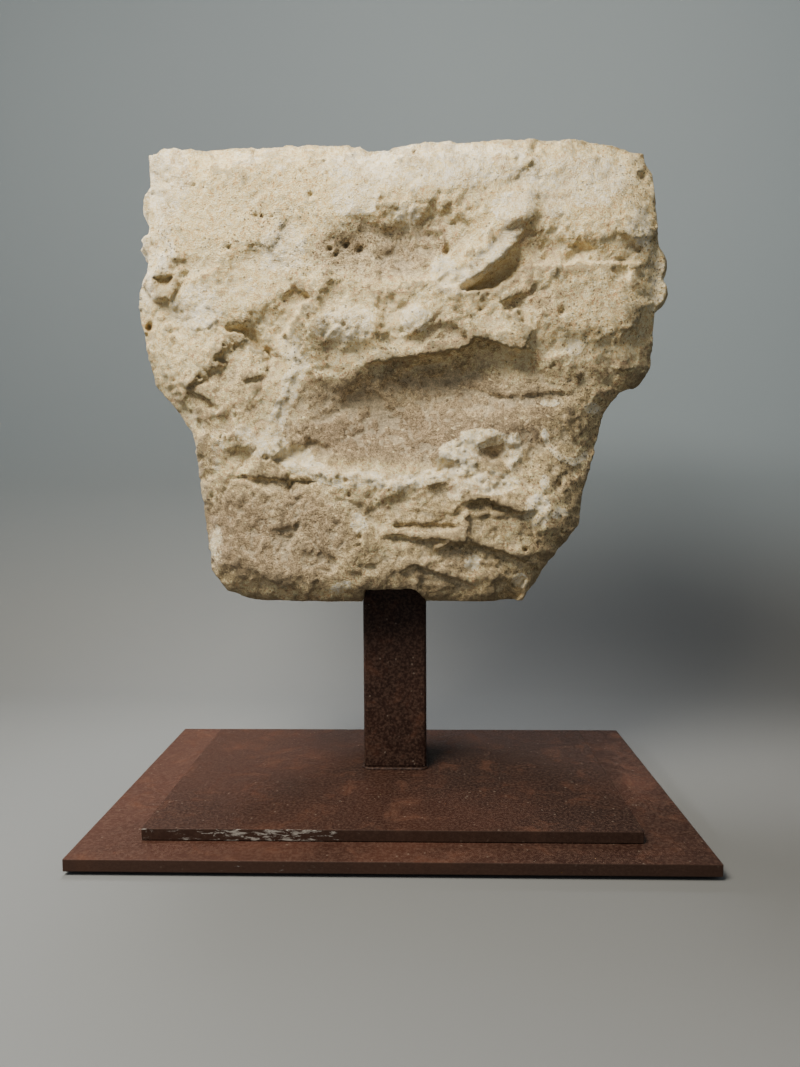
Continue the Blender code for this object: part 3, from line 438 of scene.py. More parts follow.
# lost pieces of the carved side: (right, behind the break, up, half sizes)
chips = [
    (0.620, 0.610, 0.985, 0.150, 0.130, 0.080),
    (-0.600, 0.640, 0.850, 0.080, 0.110, 0.090),
    (0.230, 0.570, 1.000, 0.110, 0.070, 0.045),
    (-0.130, 0.530, 0.350, 0.080, 0.060, 0.060),
    (0.095, 0.600, 0.690, 0.050, 0.060, 0.045),
    (0.300, 0.380, -0.010, 0.150, 0.100, 0.045),
    (0.575, 0.290, 0.960, 0.045, 0.090, 0.055),
    (-0.585, 0.330, 0.975, 0.050, 0.120, 0.050),
]


def distanceToLine(u, v, points):
    # distance to a line through the points, the side it lies on, and how far past the line's ends
    best, side, past = np.full(u.shape, 1e9), np.zeros(u.shape), np.zeros(u.shape)
    last = len(points) - 2
    for number in range(len(points) - 1):
        (au, av), (bu, bv) = points[number], points[number + 1]
        du, dv = bu - au, bv - av
        length = max(math.hypot(du, dv), 1e-6)
        along = ((u - au) * du + (v - av) * dv) / length
        inside = np.clip(along, 0.0, length)
        gap = np.hypot(u - au - inside * du / length, v - av - inside * dv / length)
        nearer = gap < best
        best = np.where(nearer, gap, best)
        side = np.where(nearer, ((v - av) * du - (u - au) * dv) / length, side)
        over = np.zeros(u.shape)
        if number == 0:
            over = np.maximum(over, -along)
        if number == last:
            over = np.maximum(over, along - length)
        past = np.where(nearer, over, past)
    return best, side, past


def insideEdge(u, v, edge):
    # distance in to the closed edge, negative outside it
    distance, _, _ = distanceToLine(u, v, edge + edge[:1])
    inside = np.zeros(u.shape, dtype=bool)
    for (au, av), (bu, bv) in zip(edge, edge[1:] + edge[:1]):
        crosses = (av > v) != (bv > v)
        span = bv - av if bv != av else 1e-9
        inside ^= crosses & (u < au + (v - av) / span * (bu - au))
    return np.where(inside, distance, -distance)


def spotShare(u, v, spot):
    cu, cv, ru, rv, turn = spot[:5]
    c, s = math.cos(math.radians(turn)), math.sin(math.radians(turn))
    return np.hypot(((u - cu) * c + (v - cv) * s) / ru, ((v - cv) * c - (u - cu) * s) / rv)


def spotMask(u, v, spots, streaks=()):
    mask = np.zeros(u.shape)
    for spot in spots:
        mask = np.maximum(mask, spot[5] * smoothStep(1.35 - 0.75 * spotShare(u, v, spot)))
    for points, width, strength in streaks:
        gap, _, _ = distanceToLine(u, v, points)
        mask = np.maximum(mask, strength * smoothStep(1.35 - 0.75 * gap / width))
    return mask


def pocketShare(u, v, first, second, deepest, softLeft, softRight):
    # how deep a pocket is, from 0 at its edges to 1 along its deepest line
    near, _, _ = distanceToLine(u, v, first)
    far, _, _ = distanceToLine(u, v, second)
    left, _, _ = distanceToLine(u, v, [first[0], second[0]])
    right, _, _ = distanceToLine(u, v, [first[-1], second[-1]])
    share = near / (near + far + 1e-6)
    depth = smoothStep(np.where(share < deepest, share / deepest, (1.0 - share) / (1.0 - deepest)))
    inside = insideEdge(u, v, first + second[::-1]) > 0.0
    return depth * inside * smoothStep(left / softLeft) * smoothStep(right / softRight)


def breakForm(u, v):
    # how far the break stands out towards -Y, without its fine roughness
    relief = np.zeros(u.shape)
    for mound in breakMounds:
        relief += mound[5] * smoothStep(1.25 - spotShare(u, v, mound))
    for points, above, below, reach in breakLedges:
        gap, side, past = distanceToLine(u, v, points)
        fade = np.exp(-((gap / reach) ** 2)) * smoothStep(1.0 - past / 0.03)
        crossing = smoothStep(side / 0.007 + 0.5)
        relief += fade * (crossing * above - (1.0 - crossing) * below)
    for first, second, depth, *shape in breakPockets:
        relief -= depth * pocketShare(u, v, first, second, *shape)
    edge = 1.0 - np.clip(insideEdge(u, v, breakEdge) / stone["wornReach"], 0.0, 1.0)
    return relief - stone["worn"] * edge ** 2


# heights of the break's roughness, and its facets: (size, seed, lean)
breakGrain = {
    "bend": 0.006, "raggedBend": 0.0045, "swells": 0.010, "ripples": 0.0022, "bowls": 0.006,
    "grit": 0.0018, "beds": 0.0040, "crustFoot": 0.002, "crustLumps": 0.012, "knocks": 0.006,
}
breakFacets = ((0.120, 21, 0.046), (0.052, 22, 0.015), (0.024, 23, 0.0044))


def breakRelief(u, v):
    # the break as it stands out towards -Y, with its facets, crust, pits and grain
    flat = np.stack([u.ravel(), np.zeros(u.size), v.ravel()], 1)

    def layer(values):
        return values.reshape(u.shape)

    broad = np.stack([roughness(flat, 0.07, 2, seed) for seed in (31, 32)], 1) * breakGrain["bend"]
    ragged = np.stack([roughness(flat, 0.024, 4, seed, 0.6) for seed in (33, 34)], 1)
    ragged *= breakGrain["raggedBend"]
    bend = broad + ragged
    relief = breakForm(u + layer(bend[:, 0]), v + layer(bend[:, 1]))
    bent = flat + bend[:, [0, 0, 1]] * np.array([3.0, 0.0, 3.0])
    clumps = smoothStep(layer(roughness(flat, 0.045, 3, 24, 0.6)) / 0.35 + 0.55)
    crust = spotMask(u, v, crustSpots, crustStreaks) * clumps
    smooth = 1.0 - 0.62 * spotMask(u, v, smoothSpots)
    beds = smoothStep((0.34 - v) / 0.10) * smoothStep((u + 0.10) / 0.15)
    level = flat.copy()
    level[:, 2] *= 6.0
    near, _ = cells(bent, 0.110, 4)
    relief += breakGrain["swells"] * layer(roughness(flat, 0.16, 3, 1))
    relief += breakGrain["ripples"] * layer(roughness(flat, 0.050, 3, 2))
    relief += breakGrain["bowls"] * (layer(near) ** 2 - 0.25) * smooth
    for size, seed, lean in breakFacets:
        relief += layer(facets(bent, size, seed, lean)) * smooth
    for flatPart in breakFlats:
        apart = spotShare(u + layer(bend[:, 0]), v + layer(bend[:, 1]), flatPart)
        share = 0.85 * smoothStep(1.30 - 0.85 * apart)
        plane = flatPart[5] * (u - flatPart[0]) + flatPart[6] * (v - flatPart[1])
        plane += np.sum(share * relief) / np.sum(share)
        relief += share * (plane - relief)
    relief += breakGrain["grit"] * layer(roughness(flat, 0.012, 5, 5, 0.50)) * smooth
    relief += breakGrain["beds"] * beds * layer(roughness(level, 0.10, 3, 6))
    lumps = layer(np.abs(roughness(flat, 0.026, 4, 7, 0.6)))
    relief += np.clip(crust, 0.0, 1.0) * (breakGrain["crustFoot"] + breakGrain["crustLumps"] * lumps)
    for cu, cv, radius, depth in breakPits:
        relief -= depth * np.exp(-((np.hypot(u - cu, v - cv) / radius) ** 2))
    small, _ = cells(flat, 0.030, 9)
    chance = layer(roughness(flat, 0.20, 2, 10))
    knocks = smoothStep((0.17 - layer(small)) / 0.10)
    relief -= breakGrain["knocks"] * knocks * smoothStep(chance * 2.0 + 0.35)
    return relief


def turnedBody(profile, sides):
    # a solid of revolution from (radius, height) pairs, bottom to top
    points, faces = [], []
    for radius, height in profile:
        for k in range(sides):
            angle = 2.0 * math.pi * k / sides
            points.append((radius * math.cos(angle), radius * math.sin(angle), height))
    for ring in range(len(profile) - 1):
        for k in range(sides):
            a = ring * sides + k
            b = ring * sides + (k + 1) % sides
            faces.append((a, b, b + sides, a + sides))
    faces.append(tuple(reversed(range(sides))))
    faces.append(tuple(range((len(profile) - 1) * sides, len(profile) * sides)))
    return np.array(points), faces


def gridFaces(rows, columns):
    faces = []
    for i in range(rows - 1):
        for j in range(columns - 1):
            a = i * columns + j
            faces.append((a, a + 1, a + 1 + columns, a + columns))
    return faces


def gridBorder(rows, columns):
    border = list(range(columns))
    border += [i * columns + columns - 1 for i in range(1, rows)]
    border += [(rows - 1) * columns + j for j in range(columns - 2, -1, -1)]
    return border + [i * columns for i in range(rows - 2, 0, -1)]


def shellBody(front, back):
    # a closed body between two grids of points, rows from bottom to top
    rows, columns = front.shape[:2]
    count = rows * columns
    points = np.concatenate([front.reshape(-1, 3), back.reshape(-1, 3)])
    faces = gridFaces(rows, columns)
    faces += [(count + a, count + d, count + c, count + b) for a, b, c, d in gridFaces(rows, columns)]
    border = gridBorder(rows, columns)
    faces += [(b, a, count + a, count + b) for a, b in zip(border, border[1:] + border[:1])]
    return points, faces


def sweptBody(path, widths, heights, sides, across):
    # a closed tube of oval section along a path; across is the direction of its width
    path = np.array(path)
    along = np.gradient(path, axis=0)
    along /= np.linalg.norm(along, axis=1)[:, None]
    across = np.array(across) - along * np.sum(np.array(across) * along, axis=1)[:, None]
    across /= np.linalg.norm(across, axis=1)[:, None]
    upward = np.cross(across, along)
    rings = []
    for k in range(sides):
        angle = 2.0 * math.pi * k / sides
        ring = across * (np.array(widths) * math.cos(angle))[:, None]
        ring = ring + upward * (np.array(heights) * math.sin(angle))[:, None]
        rings.append(path + ring)
    return loopedBody(np.array(rings).transpose(1, 0, 2).reshape(-1, 3), sides)


def loopedBody(points, count):
    # a closed body through loops of so many points each
    faces = []
    for start in range(0, len(points) - count, count):
        for k in range(count):
            a = start + k
            b = start + (k + 1) % count
            faces.append((a, a + count, b + count, b))
    faces.append(tuple(range(count)))
    faces.append(tuple(reversed(range(len(points) - count, len(points)))))
    return np.array(points), faces


def fanned(u, v, depth):
    # the place behind or before the break that is seen at (u, v) from the fan's point
    grow = 1.0 + depth / stone["fanPoint"]
    middleU, middleV = stone["eye"]
    return np.stack([middleU + (u - middleU) * grow, depth, middleV + (v - middleV) * grow], -1)


def aroundAxis(angle, radius, height, sideways=0.0):
    # a point of the capital: the angle is measured from +Y towards +X
    x = radius * math.sin(angle) + sideways * math.cos(angle)
    y = radius * math.cos(angle) - sideways * math.sin(angle)
    return (x, y, height)


def bellRadius(height):
    flare = smoothStep((height - 0.55) / 0.32) ** 1.6
    body = stone["bellFoot"] + (stone["bellWaist"] - stone["bellFoot"]) * smoothStep(height / 0.6)
    return body + (stone["bellLip"] - stone["bellWaist"]) * flare


def bellBody():
    heights = np.linspace(0.0, 1.0 - stone["abacusThickness"], 60)
    return turnedBody([(float(bellRadius(h)), float(h)) for h in heights], 160)


def abacusBody():
    # the lid: four hollow sides, cut corners, a cavetto under a fillet
    reachOut, cut = stone["abacusCorner"], stone["cornerCut"]

    def sideLine(inset):
        points = []
        for quarter in range(4):
            turn = quarter * math.pi / 2.0
            for step in np.linspace(-1.0, 1.0, 41):
                hollow = (reachOut - stone["abacusMiddle"]) * (1.0 - step * step)
                x = step * (reachOut - inset - cut)
                y = reachOut - inset - hollow
                points.append((x * math.cos(turn) + y * math.sin(turn),
                               y * math.cos(turn) - x * math.sin(turn)))
        return points

    levels = [(0.050, 1.0 - stone["abacusThickness"]), (0.049, 0.900), (0.043, 0.915), (0.032, 0.930),
              (0.018, 0.942), (0.013, 0.946), (0.013, 0.951), (0.0, 0.953), (0.0, 0.992), (0.006, 1.0)]
    points = [(x, y, level) for inset, level in levels for x, y in sideLine(inset)]
    return loopedBody(points, len(sideLine(0.0)))


def leafBody(foot, crown, halfWidth, reach, curlStart):
    # an acanthus leaf with a rib and fanned lobes of three leaflets, its tip curled over, facing +Y
    rows, columns = 120, 71
    thick, span = stone["leafThickness"], (crown - foot) / stone["lowerCrown"]
    lobe, rake = stone["lobe"] / span, stone["lobeRake"] / span
    s = np.linspace(0.0, 1.0, rows)
    heading = 0.20 * s + 2.95 * smoothStep((s - curlStart) / (1.0 - curlStart)) ** 0.9
    radius = np.concatenate([[0.0], np.cumsum(np.sin(heading))[:-1]])
    height = np.concatenate([[0.0], np.cumsum(np.cos(heading))[:-1]])
    start = bellRadius(foot) + stone["leafLift"]
    radius = start + radius * (reach - thick - start) / radius.max()
    height = foot + height * (crown - thick - foot) / height.max()
    along = s / curlStart
    notches = np.abs(np.sin(math.pi * (along - stone["lobeStart"]) / lobe))
    leaflets = np.abs(np.sin(3.0 * math.pi * (along - stone["lobeStart"]) / lobe))
    tip = np.clip((s - curlStart) / (1.0 - curlStart), 0.0, 1.0)
    width = halfWidth * (0.84 + 0.22 * np.sin(math.pi * s ** 0.85)) * np.sqrt(1.0 - 0.84 * tip ** 2)
    width *= 0.74 + 0.20 * notches ** 0.5 + 0.06 * leaflets
    front, back = np.zeros((rows, columns, 3)), np.zeros((rows, columns, 3))
    for j, t in enumerate(np.linspace(-1.0, 1.0, columns)):
        away = abs(t)
        vein = along + rake * (1.0 - away) ** 1.6 - stone["lobeStart"]
        opened = min(1.0, max(0.0, away - 0.12) * 2.5)
        folds = np.abs(np.sin(math.pi * vein / lobe)) ** 0.55 * opened
        fine = np.abs(np.sin(3.0 * math.pi * vein / lobe)) ** 0.7 * opened
        notch = np.abs(vein / lobe - np.round(vein / lobe)) * lobe
        eye = np.exp(-((notch * span / 0.030) ** 2 + ((away - 0.66) / 0.14) ** 2))
        rib = math.exp(-((t / 0.085) ** 2)) - 0.8 * math.exp(-(((away - 0.19) / 0.055) ** 2))
        rise = thick * (0.70 - 0.32 * away ** 2.5) + stone["leafFold"] * folds + 0.0065 * fine
        rise += stone["leafRib"] * rib - 0.026 * eye
        sink = np.where(s < 0.8 * curlStart, -0.080, -0.014 - 0.009 * fine - 0.006 * folds)
        for i in range(rows):
            sideways = float(width[i] * t)
            for grid, lift in ((front, rise[i]), (back, sink[i])):
                r = radius[i] + math.cos(heading[i]) * lift
                grid[i, j] = aroundAxis(sideways / max(r, 0.2), r, height[i] - math.sin(heading[i]) * lift)
    return shellBody(front, back)


def spiralStem(side):
    # an outer volute: a stem from between the leaves that rolls up under the corner
    middle, level = stone["voluteMiddle"]
    size = stone["voluteSize"]
    path, across, widths, heights = [], [], [], []
    for t in np.linspace(0.0, 1.0, 26)[:-1]:
        turn = -side * math.radians(20.0 * (1.0 - t) ** 1.5 + 4.0)
        height = 0.580 + (level + size - 0.580) * t ** 0.8
        path.append(aroundAxis(turn, 0.455 + (middle - 0.455) * t ** 2, height))
        across.append(aroundAxis(turn + math.pi / 2.0, 1.0, 0.0))
        widths.append(0.026 + 0.014 * t)
        heights.append(0.026)
    for t in np.linspace(0.0, 1.0, 110):
        roll = 1.60 * 2.0 * math.pi * t
        away = (size + 0.005) * (1.0 - 0.76 * t)
        turn = -side * math.radians(4.0)
        path.append(aroundAxis(turn, middle + away * math.sin(roll), level + away * math.cos(roll)))
        across.append(aroundAxis(turn + math.pi / 2.0, 1.0, 0.0))
        widths.append(0.040 + 0.006 * t)
        heights.append(0.013 + 0.004 * t)
    return sweptBody(path, widths, heights, 20, across)


def cornerWeb():
    # stone left behind a pair of volutes, which joins them to the bell
    path = [aroundAxis(0.0, 0.38 + 0.20 * t, 0.66 + 0.24 * t) for t in np.linspace(0.0, 1.0, 6)]
    across = [aroundAxis(math.pi / 2.0, 1.0, 0.0)] * 6
    return sweptBody(path, [0.060, 0.058, 0.054, 0.050, 0.046, 0.044], [0.075] * 6, 20, across)


def helixStem(side):
    # an inner spiral, which rolls up beside the flower
    path, across, widths, heights = [], [], [], []
    for t in np.linspace(0.0, 1.0, 22)[:-1]:
        turn = side * math.radians(19.0 - 7.0 * t ** 2)
        path.append(aroundAxis(turn, 0.440 + 0.060 * t, 0.560 + 0.285 * t))
        across.append(aroundAxis(turn, 1.0, 0.0))
        widths.append(0.024)
        heights.append(0.019)
    for t in np.linspace(0.0, 1.0, 70):
        roll = 1.3 * 2.0 * math.pi * t + 0.35
        size = 0.056 * (1.0 - 0.74 * t)
        place = side * (0.076 - size * math.sin(roll))
        path.append(aroundAxis(0.0, 0.515 - 0.9 * place * place, 0.800 + size * math.cos(roll), place))
        across.append(aroundAxis(0.0, 1.0, 0.0))
        widths.append(0.026)
        heights.append(0.014)
    return sweptBody(path, widths, heights, 16, across)


def stalkBody():
    path = [aroundAxis(0.0, 0.42 + 0.02 * t, 0.34 + 0.25 * t) for t in np.linspace(0.0, 1.0, 6)]
    across = [aroundAxis(math.pi / 2.0, 1.0, 0.0)] * 6
    return sweptBody(path, [0.036, 0.036, 0.038, 0.044, 0.054, 0.040], [0.040] * 6, 20, across)


def ovalBody(centre, size, rows=19, sides=36):
    profile = []
    for k in range(rows):
        tilt = math.pi * (k + 0.4) / (rows - 0.2)
        profile.append((math.sin(tilt), -math.cos(tilt)))
    points, faces = turnedBody(profile, sides)
    return points * np.array(size) + np.array(centre), faces


def flowerBodies():
    # the flower in the middle of the lid's front: a heart and five petals
    reach = stone["abacusMiddle"] + 0.006
    bodies = [ovalBody((0.0, reach + 0.010, 0.925), (0.026, 0.030, 0.026))]
    for k in range(5):
        turn = math.radians(90.0 + 72.0 * k)
        place = (0.044 * math.cos(turn), reach - 0.006, 0.925 + 0.040 * math.sin(turn))
        bodies.append(ovalBody(place, (0.028, 0.024, 0.026)))
    return bodies


def coreBody():
    # rough stone just behind the edge of the break, drawing in to the rear
    edge = np.array(breakEdge)
    loops = []
    for share, shrink in ((-1.0, 1.0), (0.40, 1.0), (0.65, 0.975), (1.0, 0.90)):
        u, v = edge[:, 0] * shrink, 0.5 + (edge[:, 1] - 0.5) * (0.5 + shrink / 2.0)
        loops.append(fanned(u, v, np.full(len(edge), share * stone["coreDepth"])))
    points = np.concatenate(loops)
    points[:, 2] = np.clip(points[:, 2], 0.0, 1.0)
    return loopedBody(points, len(edge))


def placed(points):
    return np.array(points) * stone["height"] + np.array([stone["axis"], stone["front"], stone["bottom"]])


def joinedObject(name, bodies, place=placed):
    points, faces = [], []
    for bodyPoints, bodyFaces in bodies:
        start = len(points)
        points.extend(place(bodyPoints))
        faces.extend(tuple(start + k for k in face) for face in bodyFaces)
    return meshObject(name, points, faces)


# Geometry Nodes

def openNodes(name, inputs):
    # a new geometry group, its inputs' identifiers by name, and the sockets of its two ends
    tree = bpy.data.node_groups.new(name, "GeometryNodeTree")
    tree.interface.new_socket("Geometry", in_out="OUTPUT", socket_type="NodeSocketGeometry")
    keys = {}
    for label, kind in inputs.items():
        socket = tree.interface.new_socket(label, in_out="INPUT", socket_type="NodeSocket" + kind)
        keys[label] = socket.identifier
    given = tree.nodes.new("NodeGroupInput").outputs
    return tree, keys, given, tree.nodes.new("NodeGroupOutput").inputs


def runNodes(item, label, tree, keys, values):
    # the group makes the object's mesh, with its inputs set by their identifiers
    work = item.modifiers.new(label, "NODES")
    work.node_group = tree
    for name, value in values.items():
        work[keys[name]] = value
    settle(item)


def ringTree():
    # copies of an object turned round the bell's axis
    tree, keys, given, made = openNodes("copies round the bell", {
        "Piece": "Object", "Count": "Int", "First": "Float", "Step": "Float", "Axis": "Vector",
        "Material": "Material"})
    line = put(tree, "GeometryNodeMeshLine", {"Count": given["Count"], "Offset": (0.0, 0.0, 0.0)})
    piece = put(tree, "GeometryNodeObjectInfo", {"Object": given["Piece"]}, transform_space="ORIGINAL")
    number = tree.nodes.new("GeometryNodeInputIndex").outputs[0]
    angle = put(tree, "ShaderNodeMath", {0: number, 1: given["Step"], 2: given["First"]},
                operation="MULTIPLY_ADD")
    back = put(tree, "ShaderNodeMath", {0: angle.outputs[0], 1: -1.0}, operation="MULTIPLY")
    turn = put(tree, "ShaderNodeCombineXYZ", {"Z": back.outputs[0]})
    copies = put(tree, "GeometryNodeInstanceOnPoints", {
        "Points": line.outputs[0], "Instance": piece.outputs["Geometry"], "Rotation": turn.outputs[0]})
    moved = put(tree, "GeometryNodeTranslateInstances", {
        "Instances": copies.outputs[0], "Translation": given["Axis"]})
    whole = put(tree, "GeometryNodeRealizeInstances", {0: moved.outputs[0]})
    shown = put(tree, "GeometryNodeSetMaterial", {"Geometry": whole.outputs[0], "Material": given["Material"]})
    tree.links.new(shown.outputs[0], made["Geometry"])
    return tree, keys


ring, ringKeys = ringTree()


def ringOf(name, bodies, count, first, step, material):
    # the piece is built about the axis at the origin, then copied by the node tree
    piece = joinedObject(name + "Pattern", bodies, lambda points: np.array(points) * stone["height"])
    item = meshObject(name, [], [])
    runNodes(item, "copies", ring, ringKeys, {
        "Piece": piece, "Count": count, "First": math.radians(first), "Step": math.radians(step),
        "Axis": (stone["axis"], stone["front"], stone["bottom"]), "Material": material})
    bpy.data.objects.remove(piece, do_unlink=True)
    return item


def breakCutter():
    # everything in front of the break; its rear side is the break, fanned out from the eye
    us = np.arange(-0.66, 0.6601, stone["breakGrid"])
    vs = np.arange(-0.06, 1.0601, stone["breakGrid"])
    u, v = np.meshgrid(us, vs)
    relief = breakRelief(u, v)
    points = fanned(u, v, -relief)
    rows, columns = u.shape
    border = gridBorder(rows, columns)
    flat = fanned(u, v, np.full(u.shape, -0.42)).reshape(-1, 3)[border]
    count = rows * columns
    faces = [tuple(reversed(f)) for f in gridFaces(rows, columns)]
    last = len(border)
    for k in range(last):
        m = (k + 1) % last
        faces.append((border[k], border[m], count + m, count + k))
    faces.append(tuple(range(count, count + last)))
    return np.concatenate([points.reshape(-1, 3), flat]), faces


def fineOutline():
    # the outline cut into short steps and made ragged
    fine = []
    for (au, av), (bu, bv) in zip(outline, outline[1:] + outline[:1]):
        steps = max(1, round(math.hypot(bu - au, bv - av) / 0.006))
        fine += [(au + (bu - au) * k / steps, av + (bv - av) * k / steps) for k in range(steps)]
    fine = np.array(fine)
    flat = np.stack([fine[:, 0], np.zeros(len(fine)), fine[:, 1]], 1)
    fine[:, 0] += 0.0045 * roughness(flat, 0.035, 3, 11)
    fine[:, 1] += 0.0035 * roughness(flat, 0.030, 3, 12)
    return fine


def fanCutter():
    # the outline drawn out into a fan, which keeps the sides behind the edge of the break
    edge = fineOutline()
    loops = [fanned(edge[:, 0], edge[:, 1], np.full(len(edge), depth)) for depth in (-0.30, 0.90)]
    return loopedBody(np.concatenate(loops), len(edge))


def chipCutters():
    bodies = []
    for number, (x, y, z, rx, ry, rz) in enumerate(chips):
        points, faces = ovalBody((x, y, z), (rx, ry, rz), 28, 56)
        push = 1.0 + 0.22 * roughness(points, 0.10, 2, 20 + number) + 0.06 * roughness(points, 0.03, 3, 40)
        middle = np.array([x, y, z])
        bodies.append((middle + (points - middle) * push[:, None], faces))
    return bodies


def cutBy(item, cutter, operation):
    cut = item.modifiers.new(cutter.name, "BOOLEAN")
    cut.operation, cut.object, cut.solver = operation, cutter, "MANIFOLD"
    cutter.hide_render = True
    cutter.display_type = "WIRE"


def seatCutters():
    # the socket round the post's top, and the rough notch in the stone's edge in front of it
    low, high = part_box("post")
    play, bottom = 0.0015, stone["bottom"]
    x0, x1, y0, y1 = low.x - play, high.x + play, low.y - play, high.y + play
    mouth, roof = 0.0280, 0.0255
    points = [(x, y, z) for z in (bottom - 0.02, high.z + 0.0003)
              for x, y in ((x0, y0), (x1, y0), (x1, y1), (x0, y1))]
    faces = [(3, 2, 1, 0), (4, 5, 6, 7), (0, 1, 5, 4), (1, 2, 6, 5), (2, 3, 7, 6), (3, 0, 4, 7)]
    socket = meshObject("postSocket", points, faces)
    line = [(-mouth, -0.02), (mouth + 0.001, -0.02), (mouth + 0.001, 0.001), (roof - 0.0040, 0.0112),
            (roof - 0.0060, 0.0120), (-roof, 0.0118), (-mouth, 0.001)]
    front, rear = stone["front"] - 0.04, y0 + 0.004
    points = [(x, y, bottom + z) for y in (front, rear) for x, z in line]
    count = len(line)
    faces = [(k, k + count, (k + 1) % count + count, (k + 1) % count) for k in range(count)]
    faces += [tuple(range(count)), tuple(reversed(range(count, 2 * count)))]
    return socket, meshObject("postNotch", points, faces)


def edgeAverages(mesh, values, rounds):
    # values at the vertices, averaged along the edges again and again
    ends = np.zeros(len(mesh.edges) * 2, np.int32)
    mesh.edges.foreach_get("vertices", ends)
    a, b = ends[0::2], ends[1::2]
    count = len(mesh.vertices)
    weight = np.bincount(a, minlength=count) + np.bincount(b, minlength=count) + 1e-9
    for _ in range(rounds):
        total = np.stack([np.bincount(a, values[b, k], count) + np.bincount(b, values[a, k], count)
                          for k in range(values.shape[1])], 1)
        values = 0.5 * values + 0.5 * total / weight[:, None]
    return values


def dropCrumbs(mesh, fewest):
    # deletes loose bits of fewer points than that
    work = bmesh.new()
    work.from_mesh(mesh)
    seen, crumbs = set(), []
    for first in work.verts:
        if first in seen:
            continue
        seen.add(first)
        group = [first]
        for point in group:
            for edge in point.link_edges:
                other = edge.other_vert(point)
                if other not in seen:
                    seen.add(other)
                    group.append(other)
        if len(group) < fewest:
            crumbs += group
    bmesh.ops.delete(work, geom=crumbs, context="VERTS")
    work.to_mesh(mesh)
    work.free()
    print("stone:", len(crumbs), "loose points dropped")


def meshPoints(mesh):
    points, normals = np.zeros(len(mesh.vertices) * 3), np.zeros(len(mesh.vertices) * 3)
    mesh.vertices.foreach_get("co", points)
    mesh.vertices.foreach_get("normal", normals)
    return points.reshape(-1, 3), normals.reshape(-1, 3)


def shareOf(points):
    # each point's place on the break as seen from the eye, and its depth behind the break's plane
    local = (points - np.array([stone["axis"], stone["front"], stone["bottom"]])) / stone["height"]
    grow = 1.0 + local[:, 1] / stone["fanPoint"]
    eyeU, eyeV = stone["eye"]
    return eyeU + (local[:, 0] - eyeU) / grow, eyeV + (local[:, 2] - eyeV) / grow, local


def roughen(mesh):
    # weathering of the carved sides, and grain all over
    points, normals = meshPoints(mesh)
    u, v, local = shareOf(points)
    onBreak = smoothStep(1.0 - (local[:, 1] + breakForm(u, v) - 0.02) / 0.03)
    worn = 0.0036 * roughness(local, 0.090, 3, 13) + 0.0014 * roughness(local, 0.030, 3, 14)
    near, _ = cells(local, 0.055, 15)
    nicks = -0.0050 * smoothStep((0.20 - near) / 0.14)
    fine = (0.0009 + 0.0010 * onBreak) * roughness(local, 0.014, 3, 16)
    push = (1.0 - onBreak) * (worn + nicks) + fine
    fromPost = np.maximum(np.abs(points[:, 0]), np.abs(points[:, 1] - stone["postMiddle"]))
    inPost = smoothStep((fromPost - stone["postKept"]) / 0.004)
    push *= np.where(local[:, 2] < 0.10, inPost, 1.0) * smoothStep(local[:, 2] / 0.012 + 0.15)
    moved = points + normals * (push * stone["height"])[:, None]
    low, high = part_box("capital_stone")
    moved[:, 1] = np.minimum(moved[:, 1], high.y)
    moved[:, 2] = np.clip(moved[:, 2], stone["bottom"] - 0.0006, high.z)
    mesh.vertices.foreach_set("co", moved.ravel())
    mesh.update()


def keep(mesh, name, values):
    layer = mesh.attributes.new(name, "FLOAT", "POINT")
    layer.data.foreach_set("value", np.clip(values, 0.0, 2.0).astype(np.float32))


def paintMasks(mesh):
    points, normals = meshPoints(mesh)
    u, v, local = shareOf(points)
    form = breakForm(u, v)
    onBreak = smoothStep(1.0 - (local[:, 1] + form - 0.03) / 0.03)
    fine = edgeAverages(mesh, points, 5)
    broad = edgeAverages(mesh, fine, 40)
    sunkFine = np.sum((fine - points) * normals, 1) / 0.0006
    sunkBroad = np.sum((broad - fine) * normals, 1) / 0.0030
    nearBreak = smoothStep((0.42 - local[:, 1]) / 0.10)
    # painted shade along the creases; with how sunk each point is, it makes the hollow mask, which darkens the
    # stone as painted shade
    creaseShade = nearBreak * spotMask(u, v, [], shadeCreases)
    keep(mesh, "hollow", np.clip(0.5 * sunkFine, -0.5, 0.6) + np.clip(sunkBroad, -0.6, 1.2) + 0.5 + creaseShade)
    keep(mesh, "chalk", onBreak * spotMask(u, v, chalkAndLitTopSpots + crustSpots, chalkStreaks + crustStreaks))
    keep(mesh, "rose", nearBreak * spotMask(u, v, roseAndShadeSpots))
    keep(mesh, "soot", onBreak * spotMask(u, v, sootSpots))
    keep(mesh, "broken", onBreak)


stoneTones = {
    "mid": (0.49, 0.376, 0.204), "pale": (0.785, 0.638, 0.362), "dark": (0.39, 0.303, 0.178),
    "rose": (0.36, 0.262, 0.162), "roseDark": (0.28, 0.204, 0.128), "umberShade": (0.165, 0.120, 0.078),
    "aged": (0.56, 0.435, 0.265), "agedPale": (0.72, 0.590, 0.385),
    "chalk": (0.93, 0.825, 0.590), "chalkDim": (0.73, 0.610, 0.395),
    "crumb": (0.86, 0.720, 0.430), "deep": (0.170, 0.134, 0.088), "grime": (0.085, 0.066, 0.045),
}


# how strongly each tone covers the one below it, and the surface itself
stoneLook = {
    "rose": 0.80, "umberShade": 0.60, "chalk": 0.90, "crumbs": 0.50, "mottle": 0.38, "grit": 0.62, "proud": 0.22,
    "deep": 0.55, "grime": 0.72, "roughness": 0.93, "shine": 0.25, "coarse": 0.0020, "fine": 0.0018,
}


